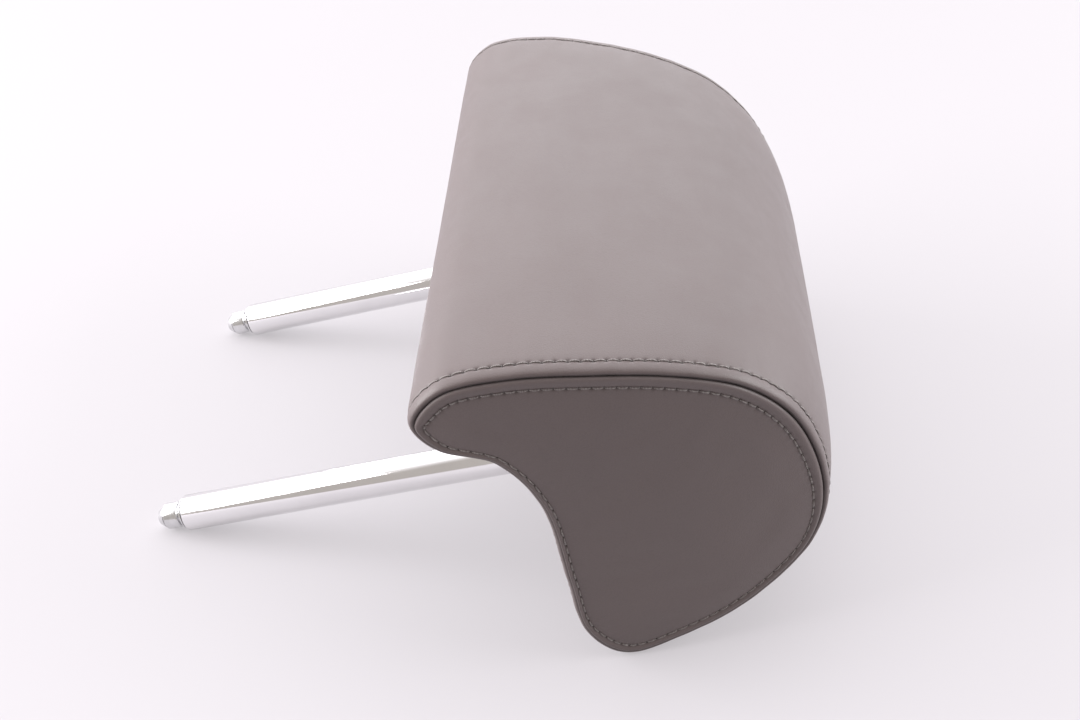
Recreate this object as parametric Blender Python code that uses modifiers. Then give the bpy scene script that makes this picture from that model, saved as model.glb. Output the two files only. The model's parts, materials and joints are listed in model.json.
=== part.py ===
"""Seat head restraint: an upholstered, comma-shaped pad that tilts on a pair of chromed posts.

Everything is modelled about the tilt pivot: X runs along the crossbar, Y towards the crown, Z up.
The pad lies on its rear lobe and on the ends of the posts, front face up.
"""
import math

import bmesh
import bpy
from mathutils import Matrix, Vector

# Clearances (metres)
GAP = 0.0003
RUNNING_GAP = 0.0010
CORE_GAP = 0.0005

# Posts, one bent tube with a turned plug in each end
POST_DIAMETER = 0.0140
POST_WALL = 0.0018
POST_SPACING = 0.1278
POST_REACH = 0.1780
BEND_RADIUS = 0.0180
POST_SIDES = 24
BEND_STEPS = 7
TIP_NECK_RADIUS = 0.0037
TIP_NECK_LENGTH = 0.0014
TIP_HEAD_RADIUS = 0.0051
TIP_HEAD_LENGTH = 0.0056
TIP_NOSE_LENGTH = 0.0030
TIP_NOSE_RADIUS = 0.0027
TIP_SPIGOT_LENGTH = 0.0160
TIP_SHOULDER = 0.0007
TIP_SHOULDER_INSET = 0.0007
TIP_SHOULDER_CHAMFER = 0.0005
TIP_CHAMFER = 0.0008
TIP_HEAD_CHAMFER = 0.0006
TIP_NOSE_CHAMFER = 0.0004

# Tilt travel from the rest position (degrees) and its stop pin
TILT_RANGE = 25.0
STOP_PIN_RADIUS = 0.0025
STOP_PIN_STAND = 0.0070
STOP_PIN_PROUD = 0.0015

# Pad: side outline through these points, each forward of the pivot, above it, and how far the
# cover swells out there in the middle of the width
PAD_OUTLINE = (
    (-0.0703, 0.0528, 0.0028), (-0.0622, 0.0643, 0.0022), (-0.0437, 0.0688, 0.0014),
    (-0.0217, 0.0690, 0.0012), (0.0083, 0.0655, 0.0012), (0.0343, 0.0562, 0.0016),
    (0.0533, 0.0365, 0.0024), (0.0643, 0.0080, 0.0028), (0.0613, -0.0160, 0.0024),
    (0.0423, -0.0375, 0.0010), (0.0183, -0.0488, 0.0), (-0.0007, -0.0526, 0.0),
    (-0.0147, -0.0400, 0.0), (-0.0214, -0.0160, 0.0), (-0.0297, 0.0155, 0.0),
    (-0.0437, 0.0365, 0.0), (-0.0617, 0.0440, 0.0014),
)
OUTLINE_STEPS = 4
LIP_HALF_WIDTH = 0.1237
CROWN_TAPER = 0.0054
CROWN_ROUNDING = 0.0237
SIDE_FLARE = 0.075
SWELL_FLATNESS = 6
SIDE_OVERRUN = 0.05

# Cover and foam
COVER_THICKNESS = 0.0020
COVER_PROUD = 0.0012
WIDTH_STEPS = 8
SIDE_GRID = 12

# Core box around the crossbar
CORE_BEYOND_POSTS = 0.0221
CORE_BEHIND_FLANGE = 0.0007
CORE_FRONT = 0.0383
CORE_FLOOR = -0.0220
CORE_ROOF = 0.0300
CORE_WALL = 0.0025
CORE_CORNER = 0.0080
CORE_SLOT_MARGIN = 0.0020
BOSS_RADIUS = 0.0045
BOSS_INSET = 0.0080
MIDDLE_BOSS_X = 0.0300

# Bearings on the crossbar: from each bend inwards come a collar, a bush and a clip
BEND_CLEARANCE = 0.0006
COLLAR_LENGTH = 0.0030
COLLAR_WALL = 0.0035
BUSH_LENGTH = 0.0150
BUSH_WALL = 0.0022
BUSH_FLANGE = 0.0020
BUSH_FLANGE_STEP = 0.0020
SLIT_WIDTH = 0.0010
CLIP_SPACE = 0.0050
CLIP_LENGTH = 0.0120
CLIP_THICKNESS = 0.0012
CLIP_OPENING = math.radians(40.0)
CLIP_LEG = 0.0095
SADDLE_RIM = 0.0040

# Stop block that the stop pin moves in
BLOCK_HALF_WIDTH = 0.0075
BLOCK_BACK = -0.0110
BLOCK_FRONT = 0.0125
BLOCK_CLEARANCE = 0.0020
POCKET_RIB = 0.0022
POCKET_RIB_RISE = 0.0060

# Screws that join the core shells
SCREW_RADIUS = 0.00175
SCREW_LENGTH = 0.0240
SCREW_HEAD_RADIUS = 0.0035
SCREW_HEAD_HEIGHT = 0.0024
SCREW_HEAD_DEPTH = 0.0080
SCREW_RECESS = 0.0014

# Slot bezels and closure strips on the underside
BEZEL_FLANGE_WIDTH = 0.0040
BEZEL_FLANGE_THICKNESS = 0.0020
BEZEL_WALL = 0.0012
BEZEL_DEPTH = 0.0060
BEZEL_SEAT_MARGIN = 0.0005
STRIP_END_GAP = 0.0029
STRIP_THICKNESS = 0.0012
STRIP_HEIGHT = 0.0080
STRIP_HOOK = 0.0044
STRIP_LEG = 0.0031

# Sides that round pieces are drawn with
BEARING_SIDES = 28
HOLE_SIDES = 16
TURNED_SIDES = 24
UNDERSIDE_STEPS = 8
WINDOW_STEPS = 8

# How far a cutter runs past what it cuts
REACH_OVER = 0.02

# Values that follow from the sizes above
HALF = POST_SPACING / 2
RADIUS = POST_DIAMETER / 2
BORE = RADIUS + GAP
STOP_PIN_REACH = RADIUS + STOP_PIN_STAND
STOP_PIN_TAIL = RADIUS + STOP_PIN_PROUD
BUSH_START = HALF - BEND_RADIUS - BEND_CLEARANCE - COLLAR_LENGTH - GAP - BUSH_LENGTH
BUSH_FLANGE_RADIUS = BORE + BUSH_WALL + BUSH_FLANGE_STEP
COLLAR_RADIUS = RADIUS + COLLAR_WALL
CLIP_START = BUSH_START - CLIP_SPACE - CLIP_LENGTH
CLIP_FOOT = -RADIUS - CLIP_LEG
CORE_HALF_WIDTH = HALF + CORE_BEYOND_POSTS
CORE_BACK = -BUSH_FLANGE_RADIUS - CORE_BEHIND_FLANGE - CORE_WALL
BLOCK_FLOOR = RADIUS + BLOCK_CLEARANCE
SCREW_SEAT = CORE_FLOOR + SCREW_HEAD_DEPTH


# ---------------------------------------------------------------- scene helpers
def clear_scene():
    for obj in list(bpy.data.objects):
        bpy.data.objects.remove(obj, do_unlink=True)


def new_collection(name):
    collection = bpy.data.collections.new(name)
    bpy.context.scene.collection.children.link(collection)
    return collection


def new_material(name, colour, roughness, metallic=0.0):
    material = bpy.data.materials.new(name)
    material.use_nodes = True
    shader = material.node_tree.nodes["Principled BSDF"]
    shader.inputs["Base Color"].default_value = (*colour, 1.0)
    shader.inputs["Roughness"].default_value = roughness
    shader.inputs["Metallic"].default_value = metallic
    return material


def add_object(name, mesh, collection, material=None, frame=None):
    """Link a mesh as an object, shaded smooth, under the empty it moves with."""
    obj = bpy.data.objects.new(name, mesh)
    collection.objects.link(obj)
    if material:
        mesh.materials.clear()
        mesh.materials.append(material)
    mesh.shade_smooth()
    mesh.set_sharp_from_angle(angle=math.radians(35.0))
    obj.parent = frame
    return obj


def add_cutter(name, mesh, cutters, frame):
    cutter = add_object(name, mesh, cutters, frame=frame)
    cutter.hide_render = True
    cutter.display_type = "WIRE"
    return cutter


def boolean(obj, cutter, operation="DIFFERENCE"):
    modifier = obj.modifiers.new(f"{operation.lower()} {cutter.name}", "BOOLEAN")
    modifier.operation = operation
    modifier.object = cutter
    modifier.solver = "EXACT"


def solidify(obj, thickness, offset=-1.0):
    modifier = obj.modifiers.new("thickness", "SOLIDIFY")
    modifier.thickness = thickness
    modifier.offset = offset
    modifier.use_even_offset = True


# ---------------------------------------------------------------- shape helpers
def mesh_from(bm, name):
    mesh = bpy.data.meshes.new(name)
    bmesh.ops.recalc_face_normals(bm, faces=bm.faces)
    bm.to_mesh(mesh)
    bm.free()
    return mesh


def box_mesh(name, low, high):
    low, high = Vector(low), Vector(high)
    bm = bmesh.new()
    place = Matrix.Translation((low + high) / 2) @ Matrix.Diagonal((*(high - low), 1.0))
    bmesh.ops.create_cube(bm, size=1.0, matrix=place)
    return mesh_from(bm, name)


def cylinder_mesh(name, radius, start, end, sides, axis="X", centre=(0.0, 0.0)):
    """Cylinder along X or Z from start to end; centre gives its other two coordinates."""
    if axis == "X":
        place = Matrix.Translation(((start + end) / 2, *centre)) @ Matrix.Rotation(math.pi / 2, 4, "Y")
    else:
        place = Matrix.Translation((*centre, (start + end) / 2))
    bm = bmesh.new()
    bmesh.ops.create_cone(
        bm, cap_ends=True, segments=sides, radius1=radius, radius2=radius, depth=end - start, matrix=place
    )
    return mesh_from(bm, name)


def curve_mesh(name, curve, place=None):
    """Evaluate a curve, weld its caps and return the mesh placed by a matrix."""
    holder = bpy.data.objects.new(name, curve)
    bpy.context.scene.collection.objects.link(holder)
    graph = bpy.context.evaluated_depsgraph_get()
    mesh = bpy.data.meshes.new_from_object(holder.evaluated_get(graph))
    bpy.data.objects.remove(holder, do_unlink=True)
    bm = bmesh.new()
    bm.from_mesh(mesh)
    bpy.data.meshes.remove(mesh)
    bmesh.ops.remove_doubles(bm, verts=bm.verts, dist=0.00001)
    if place:
        bm.transform(place)
    return mesh_from(bm, name)


def poly_spline(curve, points, cyclic):
    spline = curve.splines.new("POLY")
    spline.points.add(len(points) - 1)
    for point, position in zip(spline.points, points):
        point.co = (*position, 1.0)
    spline.use_cyclic_u = cyclic


def side_profile_mesh(name, outlines, x_low, x_high, turn=0.0):
    """Flat outlines in the YZ plane, extruded from x_low to x_high, then turned about X."""
    curve = bpy.data.curves.new(name, "CURVE")
    curve.dimensions = "2D"
    curve.fill_mode = "BOTH"
    curve.extrude = (x_high - x_low) / 2
    for outline in outlines:
        poly_spline(curve, [(y, z, 0.0) for y, z in outline], True)
    upright = Matrix(((0, 0, 1, 0), (1, 0, 0, 0), (0, 1, 0, 0), (0, 0, 0, 1)))
    middle = Matrix.Translation(((x_low + x_high) / 2, 0.0, 0.0))
    return curve_mesh(name, curve, Matrix.Rotation(turn, 4, "X") @ middle @ upright)


def underside_profile_mesh(name, outlines, y_low, y_high, turn):
    """Flat outlines in the XZ plane, extruded from y_low to y_high, then turned about X."""
    curve = bpy.data.curves.new(name, "CURVE")
    curve.dimensions = "2D"
    curve.fill_mode = "BOTH"
    curve.extrude = (y_high - y_low) / 2
    for outline in outlines:
        poly_spline(curve, [(x, z, 0.0) for x, z in outline], True)
    upright = Matrix(((1, 0, 0, 0), (0, 0, -1, 0), (0, 1, 0, 0), (0, 0, 0, 1)))
    middle = Matrix.Translation((0.0, (y_low + y_high) / 2, 0.0))
    return curve_mesh(name, curve, Matrix.Rotation(turn, 4, "X") @ middle @ upright)


def obround(centre_x, half_width, low, high, steps=10):
    """Upright slot outline with round ends between the heights low and high."""
    points = []
    for centre_z, start in ((high - half_width, 0.0), (low + half_width, math.pi)):
        for step in range(steps + 1):
            angle = start + math.pi * step / steps
            points.append((centre_x + half_width * math.cos(angle), centre_z + half_width * math.sin(angle)))
    return points


def turned_object(name, profile, collection, material, frame, place, sides=TURNED_SIDES):
    """Solid of revolution about Z from (radius, height) points that run top to bottom."""
    mesh = bpy.data.meshes.new(name)
    bm = bmesh.new()
    verts = [bm.verts.new((radius, 0.0, height)) for radius, height in profile]
    for upper, lower in zip(verts, verts[1:]):
        bm.edges.new((upper, lower))
    bm.to_mesh(mesh)
    bm.free()
    obj = add_object(name, mesh, collection, material, frame)
    obj.matrix_local = place
    screw = obj.modifiers.new("turn", "SCREW")
    screw.axis = "Z"
    screw.steps = sides
    screw.render_steps = sides
    screw.use_merge_vertices = True
    screw.merge_threshold = 0.00001
    screw.use_smooth_shade = True
    return obj


# ---------------------------------------------------------------- pad surface
def pad_outline(inset=0.0):
    """Closed smooth side outline, moved in by inset: each point, its outward normal and swell."""
    count = len(PAD_OUTLINE)
    knots = [Vector(knot) for knot in PAD_OUTLINE]
    outline = []
    for index in range(count):
        before, start, end, after = (knots[(index + k) % count] for k in (-1, 0, 1, 2))
        slope_start = (end - before) / 2
        slope_end = (after - start) / 2
        for step in range(OUTLINE_STEPS):
            t = step / OUTLINE_STEPS
            place = (
                start * (2 * t**3 - 3 * t**2 + 1) + slope_start * (t**3 - 2 * t**2 + t)
                + end * (3 * t**2 - 2 * t**3) + slope_end * (t**3 - t**2)
            )
            tangent = (
                start * (6 * t**2 - 6 * t) + slope_start * (3 * t**2 - 4 * t + 1)
                + end * (6 * t - 6 * t**2) + slope_end * (3 * t**2 - 2 * t)
            )
            normal = Vector((-tangent.y, tangent.x)).normalized()
            outline.append((place.xy - normal * inset, normal, place.z))
    return outline


def side_x(y, z):
    """Half width of the pad: widest at the lip and the lobe, rounded in towards the crown."""
    lip_y, lip_z, _ = PAD_OUTLINE[0]
    crown_y = max(point[0] for point in PAD_OUTLINE)
    run = max(0.0, (y - lip_y) / (crown_y - lip_y))
    return LIP_HALF_WIDTH - CROWN_TAPER * run - CROWN_ROUNDING * run**2 + SIDE_FLARE * (lip_z - z)


def pad_loft(name, inset, overrun=0.0):
    """Outline rings set across the width; with an overrun, capped beyond the pad's sides."""
    bm = bmesh.new()
    outline = pad_outline(inset)
    stations = [-math.cos(math.pi * step / WIDTH_STEPS) for step in range(WIDTH_STEPS + 1)]
    if overrun:
        stations = [-1.0 - overrun, *stations, 1.0 + overrun]
    rings = []
    for across in stations:
        fullness = max(0.0, 1.0 - abs(across) ** SWELL_FLATNESS)
        ring = []
        for point, normal, swell in outline:
            place = point + normal * swell * fullness
            ring.append(bm.verts.new((across * side_x(point.x, point.y), place.x, place.y)))
        rings.append(ring)
    for near, far in zip(rings, rings[1:]):
        for index, vert in enumerate(near):
            after = (index + 1) % len(near)
            bm.faces.new((vert, near[after], far[after], far[index]))
    if overrun:
        bm.faces.new(rings[0])
        bm.faces.new(rings[-1])
    return mesh_from(bm, name)


def pad_extent(margin):
    ys = [point[0] for point in PAD_OUTLINE]
    zs = [point[1] for point in PAD_OUTLINE]
    return min(ys) - margin, max(ys) + margin, min(zs) - margin, max(zs) + margin


def side_grid_place(y, z):
    """Map the unit square to the outline's surrounding box."""
    y_low, y_high, z_low, z_high = pad_extent(REACH_OVER)
    return y_low + (y + 0.5) * (y_high - y_low), z_low + (z + 0.5) * (z_high - z_low)


def width_block_mesh(name, side_inset):
    """Block whose two sides follow the pad's curved sides, inset by side_inset."""
    bm = bmesh.new()
    bmesh.ops.create_cube(bm, size=1.0)
    bmesh.ops.subdivide_edges(
        bm, edges=[edge for edge in bm.edges if abs(edge.verts[0].co.x - edge.verts[1].co.x) < 0.5],
        cuts=SIDE_GRID - 1, use_grid_fill=True,
    )
    for vert in bm.verts:
        y, z = side_grid_place(vert.co.y, vert.co.z)
        x = math.copysign(side_x(y, z) - side_inset, vert.co.x)
        vert.co = (x, y, z)
    return mesh_from(bm, name)


def side_sheet_mesh(name, side):
    """Curved sheet on one side of the pad (side is 1 or -1), facing out."""
    bm = bmesh.new()
    turn = Matrix.Rotation(math.pi / 2, 4, "Y")
    bmesh.ops.create_grid(bm, x_segments=SIDE_GRID, y_segments=SIDE_GRID, size=0.5, matrix=turn)
    for vert in bm.verts:
        y, z = side_grid_place(vert.co.y, vert.co.z)
        vert.co = (side * side_x(y, z), y, z)
    bm.normal_update()
    if next(iter(bm.faces)).normal.x * side < 0:
        bmesh.ops.reverse_faces(bm, faces=bm.faces)
    mesh = bpy.data.meshes.new(name)
    bm.to_mesh(mesh)
    bm.free()
    return mesh


# ---------------------------------------------------------------- derived places
def pivot_height():
    """Height of the pivot over the surface that the lobe lies on."""
    return -min(point.y for point, _, _ in pad_outline(-COVER_PROUD))


def post_lean():
    """Angle at which the tips' heads, or the tubes' ends, meet the same surface as the lobe."""
    head_reach = POST_REACH + GAP + TIP_SHOULDER + TIP_NECK_LENGTH + TIP_HEAD_LENGTH
    leans = []
    for reach, radius in ((head_reach, TIP_HEAD_RADIUS), (POST_REACH, RADIUS)):
        leans.append(math.asin(pivot_height() / math.hypot(reach, radius)) - math.atan2(radius, reach))
    return min(leans)


LEAN = post_lean()
TILT = math.radians(TILT_RANGE)
ALONG_POSTS = Matrix.Rotation(LEAN, 4, "X")


def underside_depth(low, high):
    """Distance along the posts from the pivot to the cover's outer face between two heights."""
    turned = []
    for point, _, _ in pad_outline(-COVER_PROUD):
        along = -(point.x * math.cos(LEAN) + point.y * math.sin(LEAN))
        across = point.y * math.cos(LEAN) - point.x * math.sin(LEAN)
        turned.append(Vector((across, along)))
    depths = []
    for near, far in zip(turned, turned[1:] + turned[:1]):
        for step in range(UNDERSIDE_STEPS + 1):
            place = near.lerp(far, step / UNDERSIDE_STEPS)
            if low < place.x < high:
                depths.append(place.y)
    return max(depths)


def slot_top(face):
    """Height that the posts' upper side reaches at the bezel when the pad is tilted."""
    return (face + BEZEL_FLANGE_THICKNESS) * math.tan(TILT) + RADIUS / math.cos(TILT) + RUNNING_GAP


def bezel_face():
    """Depth of the bezels' back face: clear of the cover all round their flanges."""
    margin = BEZEL_FLANGE_WIDTH + BEZEL_SEAT_MARGIN
    face = 0.0
    for _ in range(UNDERSIDE_STEPS):
        face = underside_depth(SLOT_LOW - margin, slot_top(face) + margin) + GAP
    return face


SLOT_LOW = -RADIUS - RUNNING_GAP
FACE = bezel_face()
SLOT_HIGH = slot_top(FACE)
SLOT_HALF_WIDTH = RADIUS + RUNNING_GAP
SLOT_MIDDLE = (SLOT_LOW + SLOT_HIGH) / 2
STRIP_HALF_LENGTH = HALF - SLOT_HALF_WIDTH - BEZEL_FLANGE_WIDTH - STRIP_END_GAP
SIDES = (("left", -1), ("right", 1))


def slot_outline(side, margin=0.0):
    return obround(side * HALF, SLOT_HALF_WIDTH + margin, SLOT_LOW - margin, SLOT_HIGH + margin)


# ---------------------------------------------------------------- posts and what turns with them
def post_tube_mesh(name, radius, overrun):
    """A round bar along the bent tube's centreline, from one post's end to the other's."""
    points = [(-HALF, -POST_REACH - overrun, 0.0)]
    for side, start in ((-1, math.pi), (1, math.pi / 2)):
        for step in range(BEND_STEPS + 1):
            angle = start - (math.pi / 2) * step / BEND_STEPS
            x = side * (HALF - BEND_RADIUS) + BEND_RADIUS * math.cos(angle)
            points.append((x, -BEND_RADIUS + BEND_RADIUS * math.sin(angle), 0.0))
    points.append((HALF, -POST_REACH - overrun, 0.0))
    curve = bpy.data.curves.new(name, "CURVE")
    curve.dimensions = "3D"
    curve.bevel_depth = radius
    curve.bevel_resolution = POST_SIDES // 4 - 1
    curve.use_fill_caps = True
    poly_spline(curve, points, False)
    return curve_mesh(name, curve, ALONG_POSTS)


def build_posts(parts, cutters, frame):
    chrome = new_material("chrome", (0.78, 0.78, 0.80), 0.08, 1.0)
    bright_steel = new_material("bright steel", (0.66, 0.66, 0.68), 0.22, 1.0)
    hard_steel = new_material("hard steel", (0.35, 0.35, 0.37), 0.35, 1.0)
    tube = add_object("post_frame", post_tube_mesh("post_frame", RADIUS, 0.0), parts, chrome, frame)
    bore = add_cutter("post_bore", post_tube_mesh("post_bore", RADIUS - POST_WALL, REACH_OVER), cutters, frame)
    boolean(tube, bore)
    pin_hole = cylinder_mesh("pin_hole", STOP_PIN_RADIUS + GAP, -REACH_OVER, REACH_OVER, HOLE_SIDES, "Z")
    pin_hole.transform(ALONG_POSTS)
    boolean(tube, add_cutter("pin_hole", pin_hole, cutters, frame))

    pin = cylinder_mesh("stop_pin", STOP_PIN_RADIUS, -STOP_PIN_TAIL, STOP_PIN_REACH, HOLE_SIDES, "Z")
    pin.transform(ALONG_POSTS)
    add_object("stop_pin", pin, parts, hard_steel, frame)

    for label, side in SIDES:
        build_post_tip(f"post_tip_{label}", side, parts, bright_steel, frame)
        start = BUSH_START + BUSH_LENGTH + GAP
        ends = sorted((side * start, side * (start + COLLAR_LENGTH)))
        collar = cylinder_mesh(f"thrust_collar_{label}", COLLAR_RADIUS, *ends, BEARING_SIDES)
        ring = add_object(f"thrust_collar_{label}", collar, parts, hard_steel, frame)
        boolean(ring, cutters.objects["crossbar_bore"])
        boolean(ring, cutters.objects["collar_slit"])


def build_post_tip(name, side, parts, material, frame):
    """Turned plug: spigot in the tube, shoulder, neck, round head and chamfered nose."""
    spigot = RADIUS - POST_WALL - GAP
    shoulder = RADIUS - TIP_SHOULDER_INSET
    rim = TIP_HEAD_RADIUS - TIP_HEAD_CHAMFER
    neck_end = -GAP - TIP_SHOULDER - TIP_NECK_LENGTH
    head_end = neck_end - TIP_HEAD_LENGTH
    nose_end = head_end - TIP_NOSE_LENGTH
    profile = (
        (0.0, TIP_SPIGOT_LENGTH),
        (spigot - TIP_CHAMFER, TIP_SPIGOT_LENGTH),
        (spigot, TIP_SPIGOT_LENGTH - TIP_CHAMFER),
        (spigot, -GAP),
        (shoulder, -GAP),
        (shoulder - TIP_SHOULDER_CHAMFER, -GAP - TIP_SHOULDER),
        (TIP_NECK_RADIUS, -GAP - TIP_SHOULDER),
        (TIP_NECK_RADIUS, neck_end),
        (rim, neck_end),
        (TIP_HEAD_RADIUS, neck_end - TIP_HEAD_CHAMFER),
        (TIP_HEAD_RADIUS, head_end),
        (TIP_NOSE_RADIUS + TIP_CHAMFER, nose_end + TIP_NOSE_CHAMFER),
        (TIP_NOSE_RADIUS, nose_end),
        (0.0, nose_end),
    )
    # The profile's +Z points back up the post, towards the crossbar.
    place = ALONG_POSTS @ Matrix.Translation((side * HALF, -POST_REACH, 0.0))
    return turned_object(name, profile, parts, material, frame, place @ Matrix.Rotation(-math.pi / 2, 4, "X"))


# ---------------------------------------------------------------- core, bearings and stop
def boss_places():
    back = CORE_BACK + BOSS_INSET + GAP
    front = CORE_FRONT - BOSS_INSET
    side = CORE_HALF_WIDTH - BOSS_INSET
    places = [(x, y) for x in (-side, side) for y in (back, front)]
    return places + [(-MIDDLE_BOSS_X, front), (MIDDLE_BOSS_X, front)]


def core_box_mesh(name, low_z, high_z, inset):
    """The core's box with rounded upright corners, inset all round."""
    low = (-CORE_HALF_WIDTH + inset, CORE_BACK + inset, low_z)
    high = (CORE_HALF_WIDTH - inset, CORE_FRONT - inset, high_z)
    mesh = box_mesh(name, low, high)
    bm = bmesh.new()
    bm.from_mesh(mesh)
    upright = [edge for edge in bm.edges if abs(edge.verts[0].co.z - edge.verts[1].co.z) > 0.001]
    corner = CORE_CORNER - inset
    bmesh.ops.bevel(bm, geom=upright, offset=corner, offset_type="OFFSET", segments=4, profile=0.5, affect="EDGES")
    bm.to_mesh(mesh)
    bm.free()
    return mesh


def add_inner_solid(shell, mesh, cutters, frame):
    """Join a rib, saddle or boss to a shell."""
    boolean(shell, add_cutter(mesh.name, mesh, cutters, frame), "UNION")


def build_core_shell(name, upper, parts, cutters, material, frame):
    """One half of the core: a tray open at the parting plane, with saddles and screw bosses."""
    part_z = GAP / 2 if upper else -GAP / 2
    outer_z = CORE_ROOF if upper else CORE_FLOOR
    inner_z = outer_z - CORE_WALL if upper else outer_z + CORE_WALL
    outer = core_box_mesh(name, *sorted((part_z, outer_z)), 0.0)
    shell = add_object(name, outer, parts, material, frame)
    beyond = part_z - REACH_OVER if upper else part_z + REACH_OVER
    hollow = core_box_mesh(f"{name}_hollow", *sorted((beyond, inner_z)), CORE_WALL)
    boolean(shell, add_cutter(f"{name}_hollow", hollow, cutters, frame))
    root_z = inner_z + (CORE_WALL / 2 if upper else -CORE_WALL / 2)
    span = sorted((part_z, root_z))
    saddle_back = CORE_BACK + CORE_WALL / 2
    for label, side in SIDES:
        ends = sorted((side * (BUSH_START + GAP), side * (BUSH_START + BUSH_LENGTH - BUSH_FLANGE - GAP)))
        low = (ends[0], saddle_back, span[0])
        high = (ends[1], BORE + BUSH_WALL + SADDLE_RIM, span[1])
        add_inner_solid(shell, box_mesh(f"{name}_saddle_{label}", low, high), cutters, frame)
    for index, (x, y) in enumerate(boss_places()):
        boss = cylinder_mesh(f"{name}_boss_{index}", BOSS_RADIUS, *span, HOLE_SIDES, "Z", (x, y))
        add_inner_solid(shell, boss, cutters, frame)
    if upper:
        build_stop_pocket(shell, span[1], cutters, frame)
    else:
        build_clip_anchors(shell, span[0], cutters, frame)
    for cutter_name in ("bush_seat", "core_slot_left", "core_slot_right"):
        boolean(shell, cutters.objects[cutter_name])
    for index in range(len(boss_places())):
        boolean(shell, cutters.objects[f"screw_hole_{index}"])
        if not upper:
            boolean(shell, cutters.objects[f"screw_seat_{index}"])
    return shell


def build_stop_pocket(shell, root_z, cutters, frame):
    """Two ribs that hold the stop block between them."""
    for label, side in SIDES:
        inner = side * (BLOCK_HALF_WIDTH + GAP)
        ends = sorted((inner, inner + side * POCKET_RIB))
        low = (ends[0], BLOCK_BACK, BLOCK_FLOOR + POCKET_RIB_RISE)
        high = (ends[1], BLOCK_FRONT, root_z)
        add_inner_solid(shell, box_mesh(f"pocket_rib_{label}", low, high), cutters, frame)


def build_clip_anchors(shell, root_z, cutters, frame):
    """Ribs that stand between the legs of the friction clips."""
    leg = clip_leg_y() - 2 * GAP
    for label, side in SIDES:
        ends = sorted((side * (CLIP_START + GAP), side * (CLIP_START + CLIP_LENGTH - GAP)))
        low = (ends[0], -leg, root_z)
        high = (ends[1], leg, -RADIUS - STOP_PIN_RADIUS)
        add_inner_solid(shell, box_mesh(f"clip_anchor_{label}", low, high), cutters, frame)


def clip_leg_y():
    return BORE * math.sin(CLIP_OPENING)


def build_friction_clip(name, side, parts, material, frame, steps=22):
    """Omega-shaped spring band that grips the crossbar, its two legs down over an anchor."""
    leg = clip_leg_y()
    path = [(leg, CLIP_FOOT)]
    sweep = 2 * math.pi - 2 * CLIP_OPENING
    for step in range(steps + 1):
        angle = -math.pi / 2 + CLIP_OPENING + sweep * step / steps
        path.append((BORE * math.cos(angle), BORE * math.sin(angle)))
    path.append((-leg, CLIP_FOOT))
    ends = (side * CLIP_START, side * (CLIP_START + CLIP_LENGTH))
    bm = bmesh.new()
    rows = [[bm.verts.new((x, y, z)) for y, z in path] for x in sorted(ends)]
    for index in range(len(path) - 1):
        bm.faces.new((rows[0][index], rows[0][index + 1], rows[1][index + 1], rows[1][index]))
    mesh = bpy.data.meshes.new(name)
    bm.to_mesh(mesh)
    bm.free()
    clip = add_object(name, mesh, parts, material, frame)
    solidify(clip, CLIP_THICKNESS, offset=1.0)
    return clip


def stop_window_outline():
    """Room that the stop pin sweeps: two faces that lie along the pin, and an arc over its end."""
    reach = STOP_PIN_REACH + RUNNING_GAP
    clear = STOP_PIN_RADIUS + GAP
    first = math.pi / 2 + LEAN
    last = first - TILT
    outline = []
    for step in range(WINDOW_STEPS + 1):
        angle = first + (last - first) * step / WINDOW_STEPS
        outline.append(Vector((reach * math.cos(angle), reach * math.sin(angle))))
    beside_first = Vector((-math.sin(first), math.cos(first))) * clear
    beside_last = Vector((math.sin(last), -math.cos(last))) * clear
    head = [beside_first, outline[0] + beside_first]
    tail = [outline[-1] + beside_last, beside_last]
    return [tuple(point) for point in head + outline + tail]


def build_stop_block(parts, cutters, material, frame):
    """Block with a wedge-shaped window: its two faces stop the pin at each end of the tilt."""
    roof = CORE_ROOF - CORE_WALL - GAP
    low = (-BLOCK_HALF_WIDTH, BLOCK_BACK, BLOCK_FLOOR)
    block = add_object(
        "stop_block", box_mesh("stop_block", low, (BLOCK_HALF_WIDTH, BLOCK_FRONT, roof)), parts, material, frame
    )
    wedge = side_profile_mesh("stop_window", [stop_window_outline()], -REACH_OVER, REACH_OVER)
    boolean(block, add_cutter("stop_window", wedge, cutters, frame))


def build_bush(name, side, parts, cutters, material, frame):
    """Slit sleeve with a flange at its outer end."""
    end = BUSH_START + BUSH_LENGTH
    sleeve = cylinder_mesh(name, BORE + BUSH_WALL, *sorted((side * BUSH_START, side * end)), BEARING_SIDES)
    bush = add_object(name, sleeve, parts, material, frame)
    ends = sorted((side * (end - BUSH_FLANGE), side * end))
    flange = cylinder_mesh(f"{name}_flange", BUSH_FLANGE_RADIUS, *ends, BEARING_SIDES)
    boolean(bush, add_cutter(f"{name}_flange", flange, cutters, frame), "UNION")
    boolean(bush, cutters.objects["crossbar_bore"])
    boolean(bush, cutters.objects["bush_slit"])


def build_screw(index, x, y, parts, material, frame):
    """Pan-head screw with a driver recess, entering from below."""
    head = SCREW_HEAD_HEIGHT
    profile = (
        (0.0, SCREW_LENGTH),
        (SCREW_RADIUS * 0.5, SCREW_LENGTH),
        (SCREW_RADIUS, SCREW_LENGTH - SCREW_RADIUS),
        (SCREW_RADIUS, 0.0),
        (SCREW_HEAD_RADIUS, 0.0),
        (SCREW_HEAD_RADIUS, -0.6 * head),
        (0.75 * SCREW_HEAD_RADIUS, -head),
        (SCREW_RECESS, -head),
        (SCREW_RECESS, -0.4 * head),
        (0.0, -0.4 * head),
    )
    place = Matrix.Translation((x, y, SCREW_SEAT - GAP))
    turned_object(f"core_screw_{index + 1}", profile, parts, material, frame, place, HOLE_SIDES)


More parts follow.
